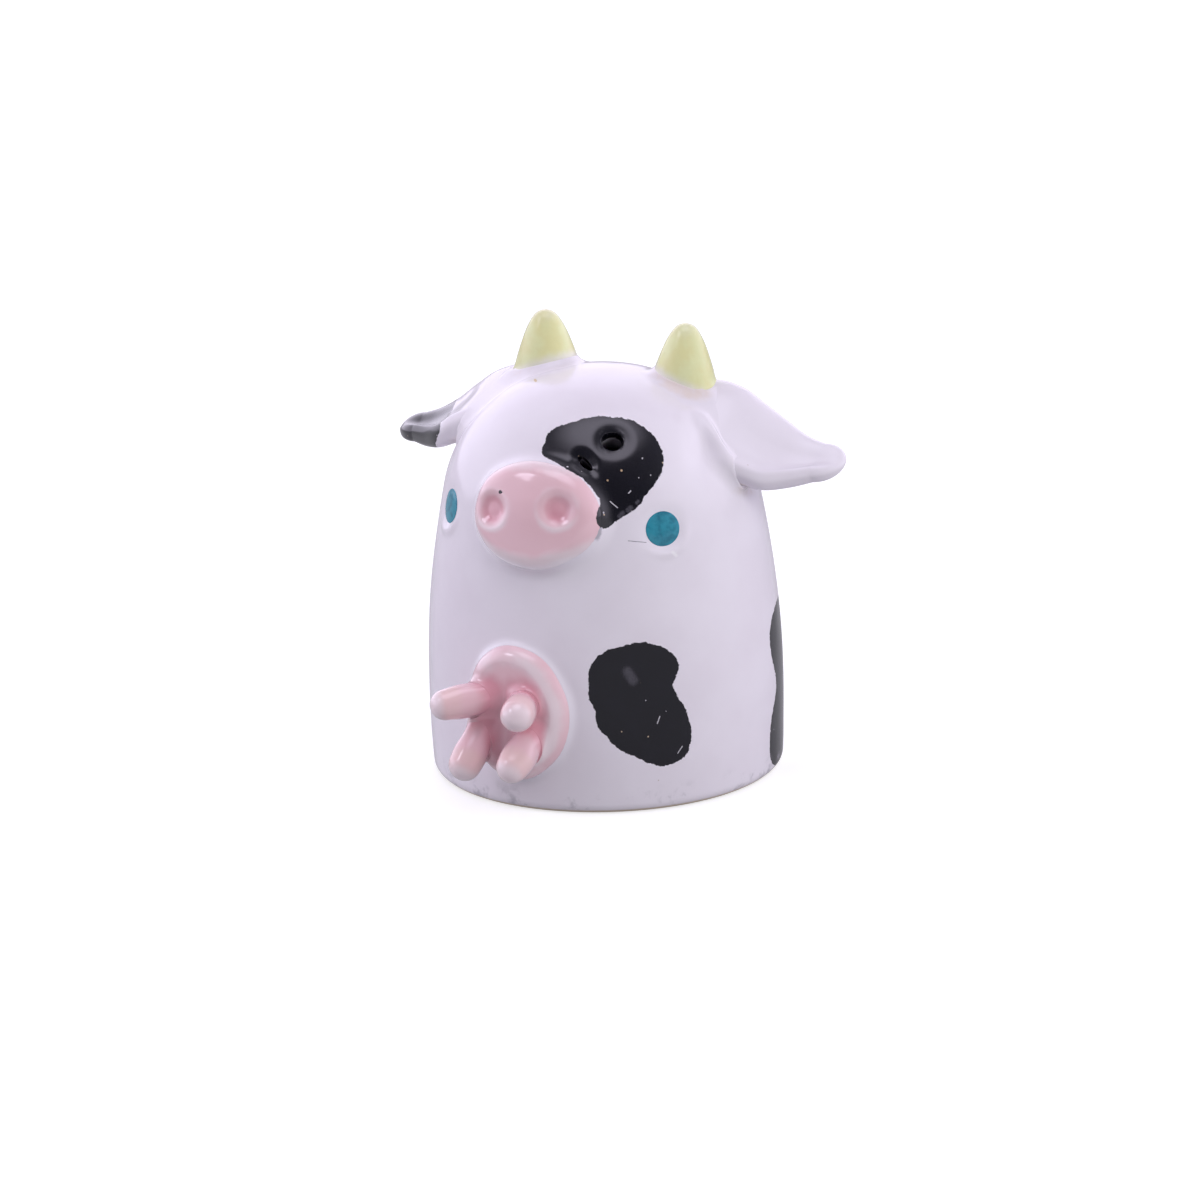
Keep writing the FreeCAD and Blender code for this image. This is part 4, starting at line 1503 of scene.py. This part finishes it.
@dataclass
class Eye:
    """A turquoise disc set in a shallow dish."""

    side: Side
    azimuth: float = 47.8
    height: float = 40.1
    # Half section of the face, from its middle out
    face: tuple[tuple[float, float], ...] = ((0.0, 0.26), (0.8, 0.25), (1.7, 0.18))
    radius: float = 2.55
    rim: float = 0.06
    edge: float = 0.25
    foot: float = -1.2
    sunk: float = 0.30

    def shape(self) -> Clay:
        """Spin a low dome and set it on the dish's floor.

        Returns:
            The clay.
        """
        clay = Clay()
        inner = self.radius - self.edge
        section = HalfSection(clay, self.face[0])
        for point in (*self.face[1:], (inner, self.rim)):
            section.run(point, 4)
        section.arc((inner, self.rim - self.edge), 90.0, 6)
        section.run((self.radius, self.foot), 4).run((0.0, self.foot), 6)
        section.turned(64)
        clay.close()
        spot = FORM.spot(self.azimuth * self.side.value, self.height)
        turned = np.array((spot.right, spot.up, spot.out))
        clay.put(clay.places() @ turned + spot.centre - spot.out * self.sunk)
        return clay


# The shell
@dataclass(frozen=True)
class PourHole:
    """A pierced hole, oval or round, in the middle of a shallow dimple."""

    azimuth: float
    height: float
    across: float
    up: float
    turn: float
    dimple: float
    depth: float

    def place(self) -> Spot:
        """Find the hole's place on the dome.

        Returns:
            The place, turned with the hole's long way.
        """
        spot = FORM.spot(self.azimuth, self.height)
        turn = math.radians(self.turn)
        right = spot.right * math.cos(turn) + spot.up * math.sin(turn)
        return Spot(spot.centre, right, np.cross(spot.out, right), spot.out)

    def press(self, points: np.ndarray, normal: np.ndarray) -> np.ndarray:
        """Press the dimple.

        Args:
            points: Rows of points on the outer skin.
            normal: The way out at each.

        Returns:
            The moved rows.
        """
        across, rise, out = self.place().flat(points)
        share = np.hypot(across / (self.across + self.dimple), rise / (self.up + self.dimple))
        share = np.where(out > IN_WALL, np.minimum(share, 1.0), 1.0)
        return points - normal * ((1 - share**2) ** 2 * self.depth)[:, None]


@dataclass
class Shell:
    """The hollow dome, smeared round what is luted on it, pierced, and dished for the eyes."""

    seams: list[Luting]
    turns: int = 360
    holes: tuple[PourHole, ...] = (
        PourHole(31.9, 51.85, 1.55, 1.5, 0.0, 1.9, 0.75),
        PourHole(18.6, 49.4, 1.5, 0.55, -48.0, 1.5, 0.65),
    )
    foot_radius: float = 1.6
    dish_radius: float = 4.3
    dish_depth: float = 0.55
    dish_lip: float = 0.45
    lip_radius: float = 3.5
    roll_line: tuple[tuple[float, float], ...] = (
        (11.6, 20.6), (13.0, 20.9), (14.4, 20.0), (15.5, 18.2), (16.6, 16.0), (18.0, 13.7), (19.2, 12.7),
    )
    roll_height: float = 0.75
    hollow_place: tuple[float, float] = (15.0, 15.6)
    hollow_depth: float = 0.7
    inside: float = -8.0
    outside: float = 3.0
    rim_round: float = 0.16
    # Centre of the painted shade under the left ear, brownish like thin glaze, in the flat view
    ear_shade_and_thin_glaze: tuple[float, float] = (20.3, 9.6)
    horn_root: float = 52.5
    horn_stain: float = 5.6

    def outline(self, clay: Clay) -> None:
        """Draw the wall's half section and turn it.

        Args:
            clay: The mesh to draw in.
        """
        top = math.degrees(math.atan2(FORM.shoulder[0], FORM.shoulder[1] - FORM.crown[1]))
        side = 90.0 - top - math.degrees(FORM.flank_angle)
        fall = FORM.flank[1] - self.foot_radius
        reach = math.sqrt((FORM.flank_radius - self.foot_radius) ** 2 - fall**2)
        foot = np.array((FORM.flank[0] + reach, self.foot_radius))
        dip = math.degrees(math.atan2(fall, reach))
        drop = math.degrees(FORM.flank_angle) + dip
        section = HalfSection(clay, (0.0, FORM.height))
        section.arc(tuple(FORM.crown), top, 18).arc(tuple(FORM.shoulder), side, 62)
        section.arc(tuple(FORM.flank), drop, 88).arc(tuple(foot), 90.0 - dip, 8)
        inner = FORM.flank_radius - FORM.wall
        ledge = Base.high
        rise = math.degrees(math.asin((FORM.flank[1] - ledge) / inner))
        section.run((Base.seat, 0.0), 3).run((Base.seat, ledge), 6)
        section.run((FORM.flank[0] + inner * math.cos(math.radians(rise)), ledge), 1)
        section.arc(tuple(FORM.flank), -(rise + math.degrees(FORM.flank_angle)), 12)
        section.arc(tuple(FORM.shoulder), -side, 12).arc(tuple(FORM.crown), -top, 4)
        section.turned(self.turns)
        clay.close(2e-3)

    def shape(self) -> Clay:
        """Turn, dish, smear and pierce the shell.

        Returns:
            The clay.
        """
        clay = Clay()
        self.outline(clay)
        points = clay.places()
        above, normal = FORM.skin(points)
        outer = (above > -0.3) & (points[:, 2] > 2.0)
        for side in Side:
            dish = FORM.spot(Eye.azimuth * side.value, Eye.height)
            near = np.linalg.norm(points - dish.centre, axis=1)
            sunk = (1 - np.clip(near / self.dish_radius, 0, 1) ** 2) ** 2 * self.dish_depth
            across, rise, _ = dish.flat(points)
            low_side = np.clip((across * 0.45 - rise * 0.9) / np.maximum(near, TINY), 0.0, 1.0)
            lip = np.exp(-(((near - self.lip_radius) / 0.55) ** 2)) * low_side**2 * self.dish_lip
            points[outer] -= normal[outer] * (sunk - lip)[outer, None]
        points[outer] = Slip(Ground(), self.seams).smear(points[outer])
        points[outer] += normal[outer] * self.ear_roll(points[outer])[:, None]
        for hole in self.holes:
            points[outer] = hole.press(points[outer], normal[outer])
        clay.put(points)
        for hole in self.holes:
            self.pierce(clay, hole)
        self.paint(clay)
        bmesh.ops.recalc_face_normals(clay.bm, faces=clay.bm.faces[:])
        return clay

    def ear_roll(self, points: np.ndarray) -> np.ndarray:
        """Height of the roll that carries the left ear's front edge on to the head.

        Args:
            points: Rows of points on the outer skin.

        Returns:
            Heights, negative in the hollow under the roll.
        """
        flat = SIGHT.seen(points)
        best = np.full(len(flat), FAR)
        share = np.zeros(len(flat))
        line = np.array(self.roll_line)
        for index, (start, end) in enumerate(zip(line, line[1:])):
            edge = end - start
            part = np.clip((flat - start) @ edge / (edge @ edge), 0.0, 1.0)
            away = np.linalg.norm(flat - start - part[:, None] * edge, axis=1)
            share = np.where(away < best, (index + part) / (len(line) - 1), share)
            best = np.minimum(best, away)
        roll = np.exp(-((best / 0.85) ** 2)) * (0.25 + 0.75 * ease(0.0, 0.6, share)) * self.roll_height
        across = (flat - self.hollow_place) @ np.array((0.82, -0.57))
        along = (flat - self.hollow_place) @ np.array((0.57, 0.82))
        hollow = np.exp(-((across / 2.2) ** 2) - (along / 3.6) ** 2) * self.hollow_depth
        facing = FORM.skin(points)[1] @ SIGHT.axes()[2] > 0
        return np.where(facing, roll - hollow * (1 - roll / self.roll_height), 0.0)

    def pierce(self, clay: Clay, hole: PourHole) -> None:
        """Open a hole through both skins and round its edge.

        Args:
            clay: The mesh.
            hole: The hole.
        """
        spot = hole.place()
        loops = []
        for low, high in ((IN_WALL, self.outside), (self.inside, IN_WALL)):
            across, rise, out = spot.flat(clay.places())
            radius = np.hypot(across / hole.across, rise / hole.up)
            inside = (radius < 1.0) & (out > low) & (out <= high)
            clay.bm.verts.index_update()
            doomed = [vert for vert in clay.bm.verts if inside[vert.index]]
            around = {edge for vert in doomed for face in vert.link_faces for edge in face.edges}
            bmesh.ops.delete(clay.bm, geom=doomed, context="VERTS")
            rim = [edge for edge in around if edge.is_valid and edge.is_boundary]
            loops.append(rim)
            for vert in {vert for edge in rim for vert in edge.verts}:
                x, y, z = (float(value[0]) for value in spot.flat(np.array((vert.co[:],))))
                pull = 1.0 / math.hypot(x / hole.across, y / hole.up)
                vert.co = spot.centre + spot.right * x * pull + spot.up * y * pull + spot.out * z
        bmesh.ops.bridge_loops(clay.bm, edges=loops[0] + loops[1])
        clay.bevel(loops[0], self.rim_round, 3)

    def paint(self, clay: Clay) -> None:
        """Mark the painted patches, the thin glaze, the painted shade under the left ear and the bare foot.

        Args:
            clay: The mesh.
        """
        points = clay.places()
        flat = SIGHT.seen(points)
        above, normal = FORM.skin(points)
        outer = above > PAINT_DEPTH
        front = outer & (normal @ SIGHT.axes()[2] > -0.2)
        seen = np.maximum(BROW_PATCH.depth(flat), BODY_PATCH.depth(flat))
        patch = np.where(front, seen, UNPAINTED)
        unrolled = round_the_dome(points)
        for outline in (SIDE_PATCH, BACK_PATCH, HAUNCH_PATCH):
            for lap in (0.0, math.tau * FORM.belly_radius):
                patch = np.maximum(patch, np.where(outer, outline.depth(unrolled + (lap, 0.0)), UNPAINTED))
        clay.mark("patch", patch)
        clay.mark("drip", np.where(front, np.maximum(DRIP.depth(flat) + 1.0, 0.0), 0.0))
        clay.mark("seen_across", np.where(front, flat[:, 0] + SEEN_SHIFT, 0.0))
        clay.mark("seen_up", np.where(front, flat[:, 1] + SEEN_SHIFT, 0.0))
        clay.mark("low", np.where(outer, 1 - ease(0.8, 4.5, points[:, 2]), 0.0))
        # Painted shade under the left ear, brownish like thin glaze; below, rings of thin glaze round the
        # horn roots
        away = flat - self.ear_shade_and_thin_glaze
        ear_shade_mask = np.exp(-((away[:, 0] / 2.2) ** 2) - (away[:, 1] / 1.3) ** 2)
        thin = np.where(front, ear_shade_mask * 0.6, 0.0)
        front_side = 1 - ease(-3.5, 1.0, points[:, 1] - Horn.back)
        for side, amount in ((Side.RIGHT, 0.35), (Side.LEFT, 0.8)):
            centre = np.array((Horn.across * side.value, Horn.back, self.horn_root))
            distance = np.linalg.norm(points - centre, axis=1)
            ring = np.exp(-((distance - self.horn_stain) ** 2))
            thin = np.maximum(thin, ring * amount * front_side)
        clay.mark("thin", thin)
        bare = np.where(outer, 1 - ease(0.25, 0.9, points[:, 2]), 0.0)
        clay.mark("bare", bare + (points[:, 2] < 0.05))


@dataclass
class Base:
    """The unglazed slab that closes the foot, with its fill hole."""

    seat: float = 21.2
    low: float = 3.4
    high: float = 7.0
    hole: float = 8.0
    bevel: float = 0.6
    edge: float = 0.5

    def shape(self) -> Clay:
        """Spin the slab.

        Returns:
            The clay.
        """
        clay = Clay()
        inner, outer = self.hole + self.bevel, self.seat - self.edge
        section = HalfSection(clay, (inner, self.low))
        section.run((outer, self.low), 14).arc((outer, self.low + self.edge), -90.0, 4)
        section.run((self.seat, self.high), 4).run((inner, self.high), 12)
        section.arc((inner, self.high - self.bevel), -90.0, 5)
        section.run((self.hole, self.low + self.bevel), 3)
        section.arc((inner, self.low + self.bevel), -90.0, 5)
        section.turned(160)
        clay.close(1e-3)
        return clay


@dataclass
class Stopper:
    """The rubber stopper: a hollow plug with a flange and a pull tab."""

    flange: float = 10.5
    base: float = 1.95
    flange_top: float = 3.35
    plug: float = 7.95
    top: float = 9.4
    hollow: float = 5.95
    roof: float = 7.9
    tab_root: float = 8.6
    tab_reach: float = 13.5
    tab_width: float = 6.0
    tab_round: float = 2.2
    inset: float = 0.05
    soft: float = 0.35
    nose: float = 0.8

    def shape(self) -> Clay:
        """Spin the stopper and draw out its tab.

        Returns:
            The clay.
        """
        clay = Clay()
        nose, rim, mouth = self.plug - self.nose, self.flange - self.soft, self.hollow + self.soft
        low = self.base + self.soft
        section = HalfSection(clay, (0.0, self.top))
        section.run((nose, self.top), 8).arc((nose, self.top - self.nose), 90.0, 6)
        section.run((self.plug, self.flange_top), 8).run((rim, self.flange_top), 6)
        section.arc((rim, self.flange_top - self.soft), 90.0, 4)
        section.run((self.flange, low), 2).arc((rim, low), 90.0, 4)
        section.run((mouth, self.base), 8).arc((mouth, low), 90.0, 4)
        section.run((self.hollow, self.roof), 8).run((0.0, self.roof), 8)
        section.turned(120)
        clay.close(1e-3)
        self.tab(clay)
        return clay

    def tab(self, clay: Clay) -> None:
        """Mould the pull tab on to the flange.

        Args:
            clay: The mesh to add it to.
        """
        low, high = self.base + self.inset, self.flange_top - self.inset
        verts = bmesh.ops.create_cube(clay.bm, size=1.0)["verts"]
        size = (self.tab_width, self.tab_reach - self.tab_root, high - low)
        middle = (0.0, (self.tab_reach + self.tab_root) / 2, (low + high) / 2)
        bmesh.ops.scale(clay.bm, verts=verts, vec=size)
        bmesh.ops.translate(clay.bm, verts=verts, vec=middle)
        edges = {edge for vert in verts for edge in vert.link_edges}
        outer = [edge for edge in edges if all(vert.co.y > self.tab_reach - 0.1 for vert in edge.verts)]
        corners = [edge for edge in outer if abs(edge.verts[0].co.z - edge.verts[1].co.z) > 0.1]
        made = clay.bevel(corners, self.tab_round, 10)
        flat = {face for vert in made for face in vert.link_faces if abs(face.normal.z) > 0.9}
        clay.bevel(list({edge for face in flat for edge in face.edges}), self.soft, 3)


# The studio
@dataclass(frozen=True)
class Lamp:
    """A soft round lamp aimed at the cow."""

    name: str
    azimuth: float
    elevation: float
    distance: float
    size: float
    power: float
    aim_height: float = 0.03

    def hang(self) -> None:
        """Add the lamp to the scene."""
        light = bpy.data.lights.new(self.name, "AREA")
        light.shape = "DISK"
        light.size = self.size
        light.energy = self.power
        lamp = placed(self.name, light)
        rise = math.radians(self.elevation)
        way = heading(self.azimuth) * math.cos(rise) + np.array((0.0, 0.0, math.sin(rise)))
        lamp.visible_glossy = False
        lamp.location = Vector(way * self.distance) + Vector((0.0, 0.0, self.aim_height))
        lamp.rotation_euler = Vector(-way).to_track_quat("-Z", "Y").to_euler()


@dataclass
class Studio:
    """Camera, lamps, pale floor and white surroundings."""

    pixels_per_mm: float = 7.123
    sensor: float = 36.0
    image: float = 1200.0
    shift_right: float = -0.449
    shift_up: float = -5.054
    sky: tuple[float, float, float] = (0.03, -0.08, 0.996)
    glint: tuple[float, float, float] = (-0.50, -0.50, 0.71)
    glint_power: float = 3.6
    lamps: tuple[Lamp, ...] = (
        Lamp("key_lamp", 52.0, 48.0, 0.9, 0.6, 1.75),
        Lamp("right_fill", 72.0, 24.0, 0.9, 0.7, 3.25),
        Lamp("left_fill", -72.0, 16.0, 0.9, 0.7, 3.1),
        Lamp("back_lamp", -150.0, 40.0, 0.7, 0.5, 0.6),
    )

    def camera(self) -> None:
        """Place the camera at the photograph's angle."""
        right, up, back = SIGHT.axes()
        roll = math.radians(SIGHT.roll)
        across = right * math.cos(roll) - up * math.sin(roll)
        rise = right * math.sin(roll) + up * math.cos(roll)
        data = bpy.data.cameras.new("camera")
        data.sensor_width = self.sensor
        data.lens = self.sensor * SIGHT.distance * self.pixels_per_mm / self.image
        data.clip_start, data.clip_end = 0.05, 20.0
        camera = placed("camera", data)
        aim = np.array(SIGHT.aim) + across * self.shift_right + rise * self.shift_up
        spot = (aim + back * SIGHT.distance) * METRES
        camera.matrix_world = Matrix((
            (across[0], rise[0], back[0], spot[0]),
            (across[1], rise[1], back[1], spot[1]),
            (across[2], rise[2], back[2], spot[2]),
            (0.0, 0.0, 0.0, 1.0),
        ))
        bpy.context.scene.camera = camera

    def floor(self) -> None:
        """Lay the pale floor."""
        bm = bmesh.new()
        bmesh.ops.create_circle(bm, cap_ends=True, radius=6.0, segments=64)
        mesh = bpy.data.meshes.new("floor")
        bm.to_mesh(mesh)
        bm.free()
        floor = placed("floor", mesh)
        r = Recipe("pale_floor")
        seen = r.add("ShaderNodeAddShader", None, {
            0: r.add("ShaderNodeBsdfDiffuse", None, {"Color": (0.52, 0.52, 0.55)}),
            1: r.add("ShaderNodeEmission", None, {"Color": (1.0, 1.0, 1.0), "Strength": 0.62}),
        })
        unseen = r.add("ShaderNodeAddShader", None, {
            0: r.add("ShaderNodeBsdfDiffuse", None, {"Color": (0.25, 0.25, 0.26)}),
            1: r.add("ShaderNodeEmission", None, {"Color": (0.97, 0.95, 1.0), "Strength": 0.22}),
        })
        clear = r.add("ShaderNodeBsdfTransparent")
        path = r.add("ShaderNodeLightPath", output="Is Camera Ray")
        under = r.add("ShaderNodeNewGeometry", output="Backfacing")
        lit = r.add("ShaderNodeMixShader", None, {0: path, 1: unseen, 2: seen})
        laid = r.add("ShaderNodeMixShader", None, {0: under, 1: lit, 2: clear})
        r.add("ShaderNodeOutputMaterial", None, {"Surface": laid})
        mesh.materials.append(r.material)

    def surroundings(self) -> None:
        """White to the camera; to the glaze, bright sides, a bright disc above and a glint."""
        r = Recipe("surroundings", world=True)
        way = r.add("ShaderNodeTexCoord", output="Generated")
        toward, above, glint = (
            r.add("ShaderNodeVectorMath", {"operation": "DOT_PRODUCT"}, {0: way, 1: tuple(aim)}, "Value")
            for aim in (heading(SIGHT.azimuth), self.sky, self.glint)
        )
        sides = toward.step(0.78, -0.25) * (1.0 - above.step(0.25, 0.9) * 0.92)
        strength = 0.06 + sides * 1.4 + above.step(0.89, 0.985) * 1.55
        strength = strength + glint.step(0.9880, 0.9960) * self.glint_power
        soft = r.add("ShaderNodeBackground", None, {"Color": (0.93, 0.875, 1.05), "Strength": strength})
        bright = r.add("ShaderNodeBackground", None, {"Color": (1.0, 1.0, 1.0), "Strength": 1.0})
        path = r.add("ShaderNodeLightPath", output="Is Camera Ray")
        sky = r.add("ShaderNodeMixShader", None, {0: path, 1: soft, 2: bright})
        r.add("ShaderNodeOutputWorld", None, {"Surface": sky})

    def build(self) -> None:
        """Set up the whole studio."""
        self.camera()
        self.floor()
        self.surroundings()
        for lamp in self.lamps:
            lamp.hang()
        bpy.context.scene.view_settings.view_transform = "Standard"


def main() -> None:
    """Build the studio and every piece of the cow."""
    logging.basicConfig(level=logging.INFO, format="%(message)s")
    noise.seed_set(SEED)
    Studio().build()
    white, pink, horn_glaze, turquoise, bare, rubber = (
        finish().material()
        for finish in (WhiteGlaze, PinkGlaze, HornGlaze, TurquoiseGlaze, BareClay, StopperRubber)
    )
    seams = []
    for side, lean in ((Side.LEFT, 4.0), (Side.RIGHT, 0.5)):
        clay = Horn(side, lean).shape()
        seams.append(Luting(clay.tree(), 1.7))
        name = f"{side.name.lower()}_horn"
        clay.fired(f"{name}_clay", Slot.HORN, Body.COW, (name,), horn_glaze)
    ears = (
        Ear(Side.LEFT, tilt=35.0, root_drop=7.4, tip_drop=12.1, width=15.4),
        Ear(Side.RIGHT, tilt=18.0, root_drop=6.4, tip_drop=13.4, width=13.6),
    )
    for ear in ears:
        clay = ear.shape()
        seams.append(Luting(clay.tree(), 1.9))
        name = f"{ear.side.name.lower()}_ear"
        clay.fired(f"{name}_clay", Slot.WHITE, Body.COW, (name,), white)
    clay = Muzzle().shape()
    seams.append(Luting(clay.tree(), 1.5))
    clay.fired("muzzle_clay", Slot.PINK, Body.COW, ("muzzle",), pink)
    trees = []
    for teat in TEATS:
        clay = teat.shape()
        trees.append(clay.tree())
        clay.fired(f"{teat.name}_clay", Slot.PINK, Body.COW, (teat.name,), pink)
    clay = Udder(trees).shape()
    seams.append(Luting(clay.tree(), 0.9))
    clay.fired("udder_clay", Slot.PINK, Body.COW, ("udder_pad",), pink)
    for side in Side:
        name = f"{side.name.lower()}_eye"
        Eye(side).shape().fired(f"{name}_clay", Slot.TURQUOISE, Body.COW, (name,), turquoise)
    Shell(seams).shape().fired("shell_clay", Slot.WHITE, Body.COW, ("body_shell",), white)
    Base().shape().fired("base_clay", Slot.WHITE, Body.COW, ("base_slab",), bare)
    Stopper().shape().fired("stopper_rubber_piece", Slot.RUBBER, Body.STOPPER, ("stopper",), rubber)


if __name__ == "__main__":
    main()
